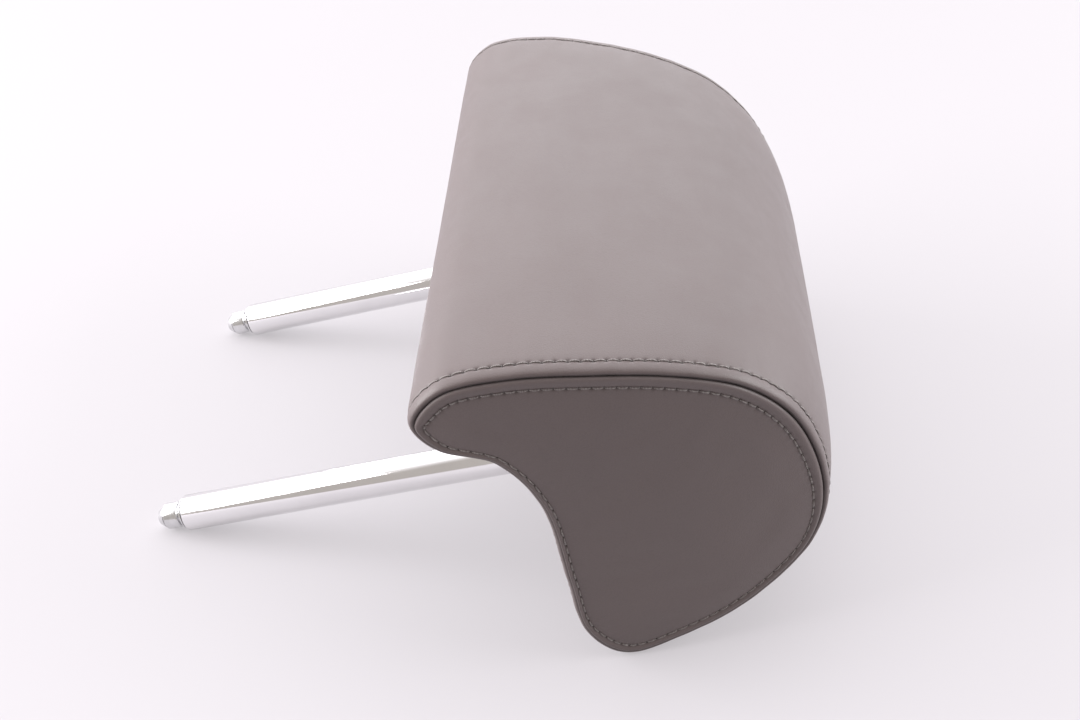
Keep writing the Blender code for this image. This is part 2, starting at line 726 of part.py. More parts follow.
def build_core_cutters(cutters, pad_frame, post_frame):
    """Bores, slots and screw holes that several pieces share."""
    long = CORE_HALF_WIDTH
    add_cutter("crossbar_bore", cylinder_mesh("crossbar_bore", BORE, -long, long, BEARING_SIDES), cutters, pad_frame)
    end = BUSH_START + BUSH_LENGTH
    seat_radius = BORE + BUSH_WALL + GAP
    seat = cylinder_mesh("bush_seat", seat_radius, -end, end, BEARING_SIDES)
    add_cutter("bush_seat", seat, cutters, pad_frame)
    slit_high = (long, SLIT_WIDTH / 2, REACH_OVER)
    add_cutter("bush_slit", box_mesh("bush_slit", (-long, -SLIT_WIDTH / 2, 0.0), slit_high), cutters, pad_frame)
    slit = box_mesh("collar_slit", (-long, -SLIT_WIDTH / 2, 0.0), slit_high)
    slit.transform(ALONG_POSTS)
    add_cutter("collar_slit", slit, cutters, post_frame)
    for label, side in SIDES:
        outline = slot_outline(side, CORE_SLOT_MARGIN)
        slot = underside_profile_mesh(f"core_slot_{label}", [outline], -FACE, -RADIUS, LEAN)
        add_cutter(f"core_slot_{label}", slot, cutters, pad_frame)
    for index, (x, y) in enumerate(boss_places()):
        top = SCREW_SEAT + SCREW_LENGTH + RUNNING_GAP
        name = f"screw_hole_{index}"
        hole = cylinder_mesh(name, SCREW_RADIUS + GAP, CORE_FLOOR - GAP, top, HOLE_SIDES, "Z", (x, y))
        add_cutter(name, hole, cutters, pad_frame)
        name = f"screw_seat_{index}"
        head = cylinder_mesh(name, SCREW_HEAD_RADIUS + GAP, CORE_FLOOR - GAP, SCREW_SEAT, HOLE_SIDES, "Z", (x, y))
        add_cutter(name, head, cutters, pad_frame)


def build_core(parts, cutters, frame):
    core_plastic = new_material("core plastic", (0.05, 0.05, 0.055), 0.5)
    acetal = new_material("acetal", (0.85, 0.84, 0.80), 0.35)
    spring_steel = new_material("spring steel", (0.42, 0.42, 0.45), 0.3, 1.0)
    nylon = new_material("filled nylon", (0.16, 0.16, 0.17), 0.45)
    zinc = new_material("zinc plate", (0.60, 0.60, 0.58), 0.3, 1.0)
    build_core_shell("core_front_shell", True, parts, cutters, core_plastic, frame)
    build_core_shell("core_rear_shell", False, parts, cutters, core_plastic, frame)
    for label, side in SIDES:
        build_bush(f"pivot_bush_{label}", side, parts, cutters, acetal, frame)
        build_friction_clip(f"friction_clip_{label}", side, parts, spring_steel, frame)
    build_stop_block(parts, cutters, nylon, frame)
    for index, (x, y) in enumerate(boss_places()):
        build_screw(index, x, y, parts, zinc, frame)


# ---------------------------------------------------------------- foam and cover
def build_foam(name, upper, parts, cutters, material, frame):
    """Half of the foam body, split at the core's parting plane."""
    inset = COVER_THICKNESS - COVER_PROUD + GAP
    foam = add_object(name, pad_loft(name, inset, SIDE_OVERRUN), parts, material, frame)
    boolean(foam, cutters.objects["foam_width"], "INTERSECT")
    boolean(foam, cutters.objects["core_cavity"])
    boolean(foam, cutters.objects["post_slot_left"])
    boolean(foam, cutters.objects["post_slot_right"])
    boolean(foam, cutters.objects["strip_recess"])
    y_low, y_high, z_low, z_high = pad_extent(REACH_OVER)
    wide = LIP_HALF_WIDTH + REACH_OVER
    if upper:
        other_half = box_mesh(f"{name}_split", (-wide, y_low, z_low), (wide, y_high, GAP / 2))
    else:
        other_half = box_mesh(f"{name}_split", (-wide, y_low, -GAP / 2), (wide, y_high, z_high))
    boolean(foam, add_cutter(f"{name}_split", other_half, cutters, frame))


def build_pad_cutters(cutters, frame):
    block = width_block_mesh("foam_width", COVER_THICKNESS + GAP)
    add_cutter("foam_width", block, cutters, frame)
    cavity = core_box_mesh("core_cavity", CORE_FLOOR - CORE_GAP, CORE_ROOF + CORE_GAP, -CORE_GAP)
    add_cutter("core_cavity", cavity, cutters, frame)
    for label, side in SIDES:
        outline = slot_outline(side, BEZEL_WALL + GAP)
        slot = underside_profile_mesh(f"post_slot_{label}", [outline], -FACE - REACH_OVER, -RADIUS, LEAN)
        add_cutter(f"post_slot_{label}", slot, cutters, frame)
    half_height = STRIP_HEIGHT / 2 + GAP
    low = (-STRIP_HALF_LENGTH - GAP, -FACE - REACH_OVER, SLOT_MIDDLE - half_height)
    high = (STRIP_HALF_LENGTH + GAP, -FACE + STRIP_HOOK + 3 * STRIP_THICKNESS, SLOT_MIDDLE + half_height)
    recess = box_mesh("strip_recess", low, high)
    recess.transform(ALONG_POSTS)
    add_cutter("strip_recess", recess, cutters, frame)


def build_cover(parts, cutters, frame):
    leather_front = new_material("leather front", (0.36, 0.32, 0.31), 0.5)
    leather_side = new_material("leather side", (0.13, 0.115, 0.11), 0.5)
    centre = add_object(
        "cover_center_panel", pad_loft("cover_center_panel", -COVER_PROUD), parts, leather_front, frame
    )
    solidify(centre, COVER_THICKNESS)
    boolean(centre, cutters.objects["post_slot_left"])
    boolean(centre, cutters.objects["post_slot_right"])
    boolean(centre, cutters.objects["strip_recess"])
    outline = [tuple(point) for point, _, _ in pad_outline(COVER_THICKNESS - COVER_PROUD + GAP)]
    wide = LIP_HALF_WIDTH + REACH_OVER
    trim = side_profile_mesh("side_trim", [outline], -wide, wide)
    add_cutter("side_trim", trim, cutters, frame)
    for label, side in SIDES:
        name = f"cover_side_{label}"
        panel = add_object(name, side_sheet_mesh(name, side), parts, leather_side, frame)
        solidify(panel, COVER_THICKNESS)
        boolean(panel, cutters.objects["side_trim"], "INTERSECT")


def build_underside_trim(parts, cutters, frame):
    """Slot bezels round the posts, and the two hooked strips that close the cover."""
    trim_plastic = new_material("trim plastic", (0.035, 0.035, 0.037), 0.45)
    for label, side in SIDES:
        name = f"slot_bezel_{label}"
        mouth = slot_outline(side)
        flange = underside_profile_mesh(
            name, [slot_outline(side, BEZEL_FLANGE_WIDTH), mouth], -FACE - BEZEL_FLANGE_THICKNESS, -FACE, LEAN
        )
        bezel = add_object(name, flange, parts, trim_plastic, frame)
        sleeve = underside_profile_mesh(
            f"{name}_sleeve", [slot_outline(side, BEZEL_WALL), mouth],
            -FACE - BEZEL_FLANGE_THICKNESS / 2, -FACE + BEZEL_DEPTH, LEAN,
        )
        boolean(bezel, add_cutter(f"{name}_sleeve", sleeve, cutters, frame), "UNION")
    strips = {"closure_strip_upper": upper_strip_outline(), "closure_strip_lower": lower_strip_outline()}
    for name, outline in strips.items():
        strip = side_profile_mesh(name, [outline], -STRIP_HALF_LENGTH, STRIP_HALF_LENGTH, LEAN)
        add_object(name, strip, parts, trim_plastic, frame)


def upper_strip_outline():
    """J-shaped section: a face plate with a hook turned in at its lower edge."""
    face = -FACE
    wall = STRIP_THICKNESS
    top = SLOT_MIDDLE + STRIP_HEIGHT / 2
    foot = SLOT_MIDDLE - STRIP_HEIGHT / 2
    back = face + STRIP_HOOK
    return [
        (face, top), (face, foot), (back, foot), (back, foot + STRIP_LEG), (back - wall, foot + STRIP_LEG),
        (back - wall, foot + wall), (face + wall, foot + wall), (face + wall, top),
    ]


def lower_strip_outline():
    """J-shaped section whose hook drops into the upper strip's channel."""
    wall = STRIP_THICKNESS
    gap = STRIP_HOOK / 2 - 1.5 * wall
    foot = SLOT_MIDDLE - STRIP_HEIGHT / 2
    back = -FACE + STRIP_HOOK + 2 * GAP
    ridge = foot + STRIP_LEG + GAP
    hook = back - 2 * GAP - wall - gap
    return [
        (back, foot), (back, ridge), (hook, ridge), (hook, foot + wall + GAP), (hook - wall, foot + wall + GAP),
        (hook - wall, ridge + wall), (back + wall, ridge + wall), (back + wall, foot),
    ]


# ---------------------------------------------------------------- assembly
def build():
    clear_scene()
    parts = new_collection("head_restraint")
    cutters = new_collection("cutters")
    post_frame = bpy.data.objects.new("post_carrier", None)
    pad_pivot = bpy.data.objects.new("tilt_pivot", None)
    for empty in (post_frame, pad_pivot):
        parts.objects.link(empty)
    build_core_cutters(cutters, pad_pivot, post_frame)
    build_pad_cutters(cutters, pad_pivot)
    build_posts(parts, cutters, post_frame)
    build_core(parts, cutters, pad_pivot)
    foam = new_material("foam", (0.78, 0.72, 0.52), 0.9)
    build_foam("foam_front", True, parts, cutters, foam, pad_pivot)
    build_foam("foam_rear", False, parts, cutters, foam, pad_pivot)
    build_cover(parts, cutters, pad_pivot)
    build_underside_trim(parts, cutters, pad_pivot)
    centre_on_floor(post_frame, pad_pivot)


def centre_on_floor(*movers):
    """Put the middle of the object's length over the origin, with the lobe on the floor."""
    crown = max(point.x + normal.x * swell for point, normal, swell in pad_outline(-COVER_PROUD))
    tip_length = GAP + TIP_SHOULDER + TIP_NECK_LENGTH + TIP_HEAD_LENGTH + TIP_NOSE_LENGTH
    nose = ALONG_POSTS @ Vector((0.0, -POST_REACH - tip_length, TIP_NOSE_RADIUS))
    for mover in movers:
        mover.location = (0.0, -(crown + nose.y) / 2, pivot_height())


build()
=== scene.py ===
"""Looks of the seat head restraint: leather over moulded foam, on chromed posts with turned tips."""

import json
import math

import bmesh
import bpy
from mathutils import Matrix, Vector
from mathutils.geometry import delaunay_2d_cdt


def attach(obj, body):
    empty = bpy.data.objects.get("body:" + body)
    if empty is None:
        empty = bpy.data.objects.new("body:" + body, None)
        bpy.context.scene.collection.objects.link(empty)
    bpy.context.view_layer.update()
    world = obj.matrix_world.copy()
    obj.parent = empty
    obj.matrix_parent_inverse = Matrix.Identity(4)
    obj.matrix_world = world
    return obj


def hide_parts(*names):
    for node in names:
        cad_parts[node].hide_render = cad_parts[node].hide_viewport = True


MM = 0.001

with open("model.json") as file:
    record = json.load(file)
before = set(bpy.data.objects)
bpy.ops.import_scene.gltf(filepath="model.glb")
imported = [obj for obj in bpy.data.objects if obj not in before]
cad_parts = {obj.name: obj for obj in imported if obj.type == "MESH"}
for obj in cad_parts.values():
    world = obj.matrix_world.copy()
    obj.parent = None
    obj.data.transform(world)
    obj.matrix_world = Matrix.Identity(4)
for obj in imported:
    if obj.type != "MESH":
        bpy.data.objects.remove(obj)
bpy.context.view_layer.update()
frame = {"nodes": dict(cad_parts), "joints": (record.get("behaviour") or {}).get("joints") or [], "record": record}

# ---------------------------------------------------------------- places taken from the frame
tilt_joint = frame["joints"][0]
PIVOT = Vector(tilt_joint["pos_m"])
mounts = {mount["name"]: mount for mount in frame["record"]["mounts"]}
POST_AXIS = Vector(mounts["post_end_right"]["axis"]).normalized()
NOSE = Vector(mounts["post_end_right"]["pos_m"])
POST_HALF_SPACING = NOSE.x
LEAN = math.atan2(-POST_AXIS.z, -POST_AXIS.y)
ALONG_POSTS = Matrix.Translation(PIVOT) @ Matrix.Rotation(LEAN, 4, "X")
SIDES = (("left", -1), ("right", 1))

# ---------------------------------------------------------------- sizes (millimetres)
POST_RADIUS = 7.0
POST_BORE = 5.2
POST_REACH = 178.0
POST_SIDES = 64
BEND_RADIUS = 18.0
BEND_STEPS = 24
BORE_DEPTH = 40.0
RIM_LIP = 0.05
# Rounded rim of the tube: distance in from its end, and radius there
TUBE_RIM = ((0.0, 5.9), (0.12, 6.35), (0.4, 6.75), (0.8, 7.0))
# Side outline of the seam, about the pivot: forward, up, and how far the cover swells there
SEAM_OUTLINE = (
    (-72.0, 52.0, 0.2), (-62.8, 64.2, 0.7), (-43.7, 68.8, 0.9), (-21.7, 69.0, 0.9),
    (8.3, 65.5, 1.1), (34.6, 56.4, 2.0), (54.3, 37.5, 3.0), (65.8, 8.3, 3.2),
    (62.5, -16.5, 2.4), (42.3, -37.5, 1.0), (18.3, -48.8, 0.0), (-0.7, -52.6, 0.0),
    (-14.7, -40.0, 0.0), (-21.4, -16.0, 0.0), (-29.7, 15.5, 0.0), (-44.5, 35.2, 0.0),
    (-63.6, 41.7, 0.2),
)
OUTLINE_SAMPLES = 4000
RING_POINTS = 880
LIP_HALF_WIDTH = 123.7
CROWN_TAPER = 5.4
CROWN_ROUNDING = 23.7
SIDE_FLARE = 0.075
FLOOR_CLEARANCE = 0.05
# The swell rises steeply from the stitches to a flat middle
SWELL_FLATNESS = 6
# Stitch rows: distance in from the seam, and height of the leather there
CENTRE_STITCH = 4.4
CENTRE_STITCH_HEIGHT = 1.34
SIDE_STITCH = 5.3
SIDE_STITCH_HEIGHT = 0.27
STITCH_PITCH = 4.0
STITCH_RADIUS = 0.3
STITCH_STAND = 0.05
# Needle holes: depth, reach across the row, half width along it in stitches, and painted shade
HOLE_DEPTH = 0.75
HOLE_REACH = 0.9
HOLE_WIDTH = 0.17
HOLE_PAINTED_SHADE = 0.6
# The side row's holes and ripples, as shares of the centre row's
SIDE_HOLE_SHARE = 0.6
SIDE_PUCKER_SHARE = 0.4
# Ripples beside the centre row: height, and distance over which they fade
PUCKER_HEIGHT = 0.1
PUCKER_REACH = 9.0
# Share of its distance from the seam that the side row keeps: on top, underneath, and in the hollow
TOP_REACH = 1.06
UNDERSIDE_REACH = 0.66
HOLLOW_REACH = 0.42
# Upward part of the outline's normal at which the underside's share ends and the top's begins
FACING_DOWN = -0.6
FACING_UP = 0.7
# Middle of the hollow between lip and lobe, and the distances from it between which its share fades
HOLLOW_MIDDLE = Vector((-30.0, 5.0))
HOLLOW_NEAR = 40.0
HOLLOW_FAR = 61.0


# ---------------------------------------------------------------- outline of the pad
def spline_sample(knots, t):
    """Closed smooth curve through the knots, at t from 0 to 1."""
    count = len(knots)
    place = (t % 1.0) * count
    index = int(place) % count
    u = place - int(place)
    before, start, end, after = (Vector(knots[(index + k) % count]) for k in (-1, 0, 1, 2))
    slope_start = (end - before) / 2
    slope_end = (after - start) / 2
    return (
        start * (2 * u**3 - 3 * u**2 + 1) + slope_start * (u**3 - 2 * u**2 + u)
        + end * (3 * u**2 - 2 * u**3) + slope_end * (u**3 - u**2)
    )


def even_outline(count):
    """The seam outline at even steps of its length: points, outward normals and swells."""
    fine = [spline_sample(SEAM_OUTLINE, step / OUTLINE_SAMPLES) for step in range(OUTLINE_SAMPLES + 1)]
    lengths = [0.0]
    for first, second in zip(fine, fine[1:]):
        lengths.append(lengths[-1] + (second.xy - first.xy).length)
    total = lengths[-1]
    samples, cursor = [], 0
    for step in range(count):
        target = total * step / count
        while lengths[cursor + 1] < target:
            cursor += 1
        share = (target - lengths[cursor]) / (lengths[cursor + 1] - lengths[cursor])
        samples.append(fine[cursor].lerp(fine[cursor + 1], share))
    outline = []
    for index, here in enumerate(samples):
        tangent = samples[(index + 1) % count].xy - samples[index - 1].xy
        outline.append((here.xy, Vector((-tangent.y, tangent.x)).normalized(), here.z))
    return outline, total


OUTLINE, SEAM_LENGTH = even_outline(RING_POINTS)
CROWN_Y = max(point.x for point, _, _ in OUTLINE)


def side_x(y, z):
    """Half width of the pad at a height and depth about the pivot, in millimetres."""
    lip_y, lip_z, _ = SEAM_OUTLINE[0]
    run = max(0.0, (y - lip_y) / (CROWN_Y - lip_y))
    return LIP_HALF_WIDTH - CROWN_TAPER * run - CROWN_ROUNDING * run**2 + SIDE_FLARE * (lip_z - z)


def place_pad(x, y, z):
    """Millimetres about the pivot to metres in the row frame; nothing sinks below the floor."""
    point = Vector((x, y, z)) * MM + PIVOT
    point.z = max(point.z, FLOOR_CLEARANCE * MM)
    return point


STITCH_COUNT = round(SEAM_LENGTH / STITCH_PITCH)


def stitch_hole(index, away):
    """1 at a needle hole, falling to 0 between the holes and away from the row."""
    if away >= HOLE_REACH:
        return 0.0
    phase = (index / RING_POINTS * STITCH_COUNT) % 1.0
    along = min(phase, 1.0 - phase)
    return math.exp(-((along / HOLE_WIDTH) ** 2)) * (1.0 - away / HOLE_REACH)


def pucker(index, away):
    """Small ripples that run out from the seam and fade with the distance from it."""
    turn = 2 * math.pi * index / RING_POINTS
    wave = math.sin(31 * turn + 0.7) * 0.5 + math.sin(47 * turn + 2.1) * 0.35 + math.sin(19 * turn) * 0.4
    return wave * PUCKER_HEIGHT * math.exp(-away / PUCKER_REACH)


# ---------------------------------------------------------------- mesh helpers
def add_piece(name, bm, body, material, stands_for=()):
    """Turn a bmesh into a piece that rides on a body."""
    bmesh.ops.recalc_face_normals(bm, faces=bm.faces)
    mesh = bpy.data.meshes.new(name)
    bm.to_mesh(mesh)
    bm.free()
    piece = bpy.data.objects.new(name, mesh)
    bpy.context.scene.collection.objects.link(piece)
    mesh.materials.append(material)
    mesh.shade_smooth()
    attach(piece, body)
    if stands_for:
        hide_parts(*stands_for)
    return piece


def skin_rings(bm, rings, closed=False):
    """Quads between neighbouring rings of equal length; closed joins the last to the first."""
    pairs = list(zip(rings, rings[1:]))
    if closed:
        pairs.append((rings[-1], rings[0]))
    for near, far in pairs:
        for index, vert in enumerate(near):
            after = (index + 1) % len(near)
            corners = (vert, near[after], far[after], far[index])
            if len(set(corners)) > 2:
                bm.faces.new(tuple(dict.fromkeys(corners)))


def obround(half_width, low, high, steps=16):
    """Upright slot outline with round ends, about X = 0, with its outward normals."""
    points = []
    for centre, start in ((high - half_width, 0.0), (low + half_width, math.pi)):
        for step in range(steps + 1):
            angle = start + math.pi * step / steps
            normal = Vector((math.cos(angle), math.sin(angle)))
            points.append((Vector((0.0, centre)) + normal * half_width, normal))
    return points


def turned_piece(name, profile, body, material, stands_for, place):
    """Solid of revolution about Z from (radius, height) in millimetres, ends on the axis."""
    bm = bmesh.new()
    rings = []
    for radius, height in profile:
        if radius == 0.0:
            rings.append([bm.verts.new(place @ Vector((0.0, 0.0, height * MM)))] * POST_SIDES)
            continue
        ring = []
        for step in range(POST_SIDES):
            angle = 2 * math.pi * step / POST_SIDES
            spot = Vector((radius * math.cos(angle), radius * math.sin(angle), height)) * MM
            ring.append(bm.verts.new(place @ spot))
        rings.append(ring)
    skin_rings(bm, rings)
    return add_piece(name, bm, body, material, stands_for)


def rounded(corners, radius, steps=4):
    """Polyline through the corners with each inner corner rounded."""
    points = [Vector(corners[0])]
    for before, corner, after in zip(corners, corners[1:], corners[2:]):
        before, corner, after = Vector(before), Vector(corner), Vector(after)
        reach = min(radius, (before - corner).length / 2.2, (after - corner).length / 2.2)
        start = corner + (before - corner).normalized() * reach
        end = corner + (after - corner).normalized() * reach
        for step in range(steps + 1):
            t = step / steps
            points.append(start * (1 - t) ** 2 + corner * 2 * t * (1 - t) + end * t**2)
    points.append(Vector(corners[-1]))
    return [tuple(point) for point in points]


# ---------------------------------------------------------------- materials
def new_material(name, colour, roughness, metallic=0.0):
    material = bpy.data.materials.new(name)
    material.use_nodes = True
    tree = material.node_tree
    shader = tree.nodes["Principled BSDF"]
    shader.inputs["Base Color"].default_value = (*colour, 1.0)
    shader.inputs["Roughness"].default_value = roughness
    shader.inputs["Metallic"].default_value = metallic
    return material, tree, shader


def add_node(tree, kind, inputs=None, **settings):
    node = tree.nodes.new(kind)
    for key, value in settings.items():
        setattr(node, key, value)
    for key, value in (inputs or {}).items():
        if isinstance(value, bpy.types.NodeSocket):
            tree.links.new(value, node.inputs[key])
        else:
            node.inputs[key].default_value = value
    return node


def object_place(tree):
    return add_node(tree, "ShaderNodeTexCoord").outputs["Object"]


def noise(tree, scale, detail=3.0, roughness=0.5, vector=None):
    inputs = {"Scale": scale, "Detail": detail, "Roughness": roughness}
    inputs["Vector"] = vector or object_place(tree)
    return add_node(tree, "ShaderNodeTexNoise", inputs).outputs["Fac"]


def ramp(tree, factor, low, high, out_low, out_high):
    inputs = {"Value": factor, "From Min": low, "From Max": high, "To Min": out_low, "To Max": out_high}
    return add_node(tree, "ShaderNodeMapRange", inputs).outputs["Result"]


def tinted(tree, colour, factor, dark=0.9, light=1.08):
    """The colour, a little darker or lighter as the factor says."""
    shade = ramp(tree, factor, 0.3, 0.7, dark, light)
    mix = add_node(tree, "ShaderNodeVectorMath", {0: colour, 1: shade}, operation="MULTIPLY")
    return mix.outputs["Vector"]


def bump(tree, height, distance, strength=1.0, normal=None):
    inputs = {"Height": height, "Distance": distance, "Strength": strength}
    if normal:
        inputs["Normal"] = normal
    return add_node(tree, "ShaderNodeBump", inputs).outputs["Normal"]


def leather_material(name, colour):
    """Pigmented leather: pebbled grain, faint tone variation, and painted shade in the seam groove and needle
    holes.
    """
    material, tree, shader = new_material(name, colour, 0.46)
    place = object_place(tree)
    warp = add_node(tree, "ShaderNodeTexNoise", {"Scale": 700.0, "Detail": 2.0, "Vector": place})
    shift = add_node(
        tree, "ShaderNodeVectorMath", {0: warp.outputs["Color"], 1: (0.0009,) * 3}, operation="MULTIPLY"
    )
    warped = add_node(tree, "ShaderNodeVectorMath", {0: place, 1: shift.outputs["Vector"]}, operation="ADD")
    pebbles = add_node(
        tree, "ShaderNodeTexVoronoi", {"Scale": 1050.0, "Vector": warped.outputs["Vector"]},
        feature="DISTANCE_TO_EDGE",
    )
    creases = ramp(tree, pebbles.outputs["Distance"], 0.0, 0.12, 0.0, 1.0)
    pores = noise(tree, 2600.0, 2.0, 0.6, place)
    broad = noise(tree, 9.0, 3.0, 0.55, place)
    patch = noise(tree, 60.0, 4.0, 0.6, place)
    seam = add_node(tree, "ShaderNodeAttribute", attribute_name="painted_seam_shade").outputs["Fac"]
    tone = add_node(tree, "ShaderNodeMath", {0: broad, 1: patch}, operation="ADD").outputs["Value"]
    tone = ramp(tree, tone, 0.7, 1.3, 0.955, 1.045)
    grain_tone = ramp(tree, creases, 0.0, 1.0, 0.93, 1.0)
    shade = add_node(tree, "ShaderNodeMath", {0: tone, 1: grain_tone}, operation="MULTIPLY").outputs["Value"]
    # Painted shade: the colour falls to 35% in the seam groove, the needle holes and the lining.
    dark = ramp(tree, seam, 0.0, 1.0, 1.0, 0.35)
    shade = add_node(tree, "ShaderNodeMath", {0: shade, 1: dark}, operation="MULTIPLY").outputs["Value"]
    coloured = add_node(tree, "ShaderNodeVectorMath", {0: colour, 1: shade}, operation="MULTIPLY")
    tree.links.new(coloured.outputs["Vector"], shader.inputs["Base Color"])
    tree.links.new(ramp(tree, patch, 0.3, 0.7, 0.40, 0.52), shader.inputs["Roughness"])
    first = bump(tree, creases, 0.00004, 0.55)
    second = bump(tree, pores, 0.00003, 0.35, first)
    tree.links.new(second, shader.inputs["Normal"])
    shader.inputs["Specular IOR Level"].default_value = 0.42
    shader.inputs["Sheen Weight"].default_value = 0.12
    shader.inputs["Sheen Roughness"].default_value = 0.5
    shader.inputs["Sheen Tint"].default_value = (0.9, 0.86, 0.88, 1.0)
    return material


def thread_material(name, colour):
    """Twisted sewing thread."""
    material, tree, shader = new_material(name, colour, 0.55)
    twist = add_node(
        tree, "ShaderNodeTexWave", {"Scale": 900.0, "Distortion": 2.0, "Vector": object_place(tree)},
        bands_direction="DIAGONAL",
    )
    tree.links.new(tinted(tree, colour, twist.outputs["Fac"], 0.75, 1.1), shader.inputs["Base Color"])
    tree.links.new(bump(tree, twist.outputs["Fac"], 0.00008, 0.8), shader.inputs["Normal"])
    shader.inputs["Sheen Weight"].default_value = 0.3
    return material


def chrome_material(name):
    """Polished chrome plate with the faintest orange peel and a few hairlines."""
    colour = (0.83, 0.82, 0.83)
    material, tree, shader = new_material(name, colour, 0.06, 1.0)
    haze = noise(tree, 45.0, 4.0, 0.6)
    tree.links.new(tinted(tree, colour, haze, 0.97, 1.02), shader.inputs["Base Color"])
    tree.links.new(ramp(tree, haze, 0.3, 0.7, 0.045, 0.10), shader.inputs["Roughness"])
    stretch = add_node(tree, "ShaderNodeMapping", {"Vector": object_place(tree), "Scale": (1.0, 0.02, 1.0)})
    hairlines = noise(tree, 2200.0, 2.0, 0.5, stretch.outputs["Vector"])
    tree.links.new(bump(tree, hairlines, 0.000004, 0.25), shader.inputs["Normal"])
    return material


def turned_steel_material(name, colour, axis):
    """Bright steel with fine turning marks round the given axis."""
    material, tree, shader = new_material(name, colour, 0.2, 1.0)
    along = add_node(tree, "ShaderNodeVectorMath", {0: object_place(tree), 1: axis}, operation="DOT_PRODUCT")
    marks = add_node(
        tree, "ShaderNodeTexNoise", {"W": along.outputs["Value"], "Scale": 9000.0, "Detail": 3.0},
        noise_dimensions="1D",
    ).outputs["Fac"]
    smears = noise(tree, 160.0, 3.0)
    tree.links.new(tinted(tree, colour, smears, 0.88, 1.06), shader.inputs["Base Color"])
    tree.links.new(ramp(tree, marks, 0.3, 0.7, 0.14, 0.27), shader.inputs["Roughness"])
    tree.links.new(bump(tree, marks, 0.000012, 0.5), shader.inputs["Normal"])
    return material


def metal_material(name, colour, roughness):
    """Plain plated or hardened steel with a cloudy surface."""
    material, tree, shader = new_material(name, colour, roughness, 1.0)
    cloud = noise(tree, 220.0, 4.0, 0.6)
    tree.links.new(tinted(tree, colour, cloud, 0.82, 1.1), shader.inputs["Base Color"])
    tree.links.new(ramp(tree, cloud, 0.3, 0.7, roughness * 0.8, roughness * 1.3), shader.inputs["Roughness"])
    tree.links.new(bump(tree, noise(tree, 1500.0), 0.00001, 0.4), shader.inputs["Normal"])
    return material


def moulded_material(name, colour, roughness, grain=900.0, depth=0.00004):
    """Moulded plastic with a fine eroded texture and slight gloss changes."""
    material, tree, shader = new_material(name, colour, roughness)
    cloud = noise(tree, 70.0, 4.0, 0.6)
    gloss = ramp(tree, cloud, 0.3, 0.7, roughness * 0.88, roughness * 1.14)
    tree.links.new(tinted(tree, colour, cloud, 0.88, 1.1), shader.inputs["Base Color"])
    tree.links.new(gloss, shader.inputs["Roughness"])
    tree.links.new(bump(tree, noise(tree, grain, 3.0, 0.6), depth, 0.6), shader.inputs["Normal"])
    return material


def foam_material(name, colour):
    """Moulded polyurethane foam: open cells under a thin skin."""
    material, tree, shader = new_material(name, colour, 0.9)
    place = object_place(tree)
    cells = add_node(tree, "ShaderNodeTexVoronoi", {"Scale": 900.0, "Vector": place}).outputs["Distance"]
    cloud = noise(tree, 30.0, 4.0, 0.6, place)
    tree.links.new(tinted(tree, colour, cloud, 0.86, 1.05), shader.inputs["Base Color"])
    tree.links.new(bump(tree, cells, 0.0003, 0.7), shader.inputs["Normal"])
    return material


LEATHER = leather_material("grey_leather", (0.1, 0.0773, 0.0764))
THREAD = thread_material("grey_thread", (0.142, 0.120, 0.116))
CHROME = chrome_material("chrome_plate")
TIP_STEEL = turned_steel_material("turned_steel", (0.72, 0.72, 0.73), POST_AXIS)
HARD_STEEL = metal_material("hardened_steel", (0.36, 0.36, 0.38), 0.34)
SPRING_STEEL = metal_material("spring_steel", (0.44, 0.45, 0.48), 0.27)
ZINC = metal_material("zinc_plate", (0.62, 0.62, 0.58), 0.3)
CORE_PLASTIC = moulded_material("core_plastic", (0.045, 0.045, 0.05), 0.5)
ACETAL = moulded_material("acetal", (0.80, 0.79, 0.74), 0.36, 400.0, 0.00001)
NYLON = moulded_material("filled_nylon", (0.13, 0.13, 0.14), 0.46, 1400.0, 0.00003)
TRIM_PLASTIC = moulded_material("trim_plastic", (0.028, 0.027, 0.028), 0.42, 1100.0, 0.00003)
FOAM = foam_material("moulded_foam", (0.74, 0.67, 0.47))


# ---------------------------------------------------------------- leather cover
def mark_painted_shade(bm, painted_shades):
    """Store each vertex's share of the painted shade in the seam groove and needle holes, for the leather's
    colour.
    """
    layer = bm.verts.layers.float["painted_seam_shade"]
    for vert, depth in painted_shades.items():
        vert[layer] = depth


def leather_bmesh():
    """Empty mesh with room for the painted seam shade."""
    bm = bmesh.new()
    bm.verts.layers.float.new("painted_seam_shade")
    return bm


CENTRE_EDGE = (
    # in from the side plane, out from the seam outline, share of the painted shade in the groove
    (3.0, -2.4, 1.0), (1.3, -2.2, 1.0), (0.5, -1.7, 1.0), (0.06, -1.2, 0.85), (-0.18, -0.76, 0.45),
    (-0.26, -0.3, 0.14), (-0.12, 0.14, 0.0), (0.26, 0.52, 0.0), (0.85, 0.84, 0.0), (1.55, 1.07, 0.0),
    (2.3, 1.22, 0.0), (3.0, 1.31, 0.0), (3.6, 1.34, 0.0), (4.1, 1.34, 0.0), (4.4, 1.34, 0.0),
    (4.7, 1.36, 0.0), (5.2, 1.42, 0.0), (5.9, 1.48, 0.0), (6.9, 1.54, 0.0), (8.2, 1.56, 0.0),
)
# Stations between the seam's edge and the middle, as shares of that way: outer skin and lining
CENTRE_SHARES = (0.965, 0.92, 0.865, 0.80, 0.72, 0.63, 0.53, 0.42, 0.30, 0.17)
LINING_SHARES = (0.98, 0.9, 0.7, 0.4)
BASE_HEIGHT = CENTRE_EDGE[-1][1]
LEATHER_WALL = 1.5


def centre_section():
    """Section of the centre panel from one side to the middle: inwards, outwards, painted shade and share."""
    rows = [(*row, None) for row in CENTRE_EDGE]
    return rows + [(CENTRE_EDGE[-1][0], BASE_HEIGHT, 0.0, share) for share in CENTRE_SHARES]


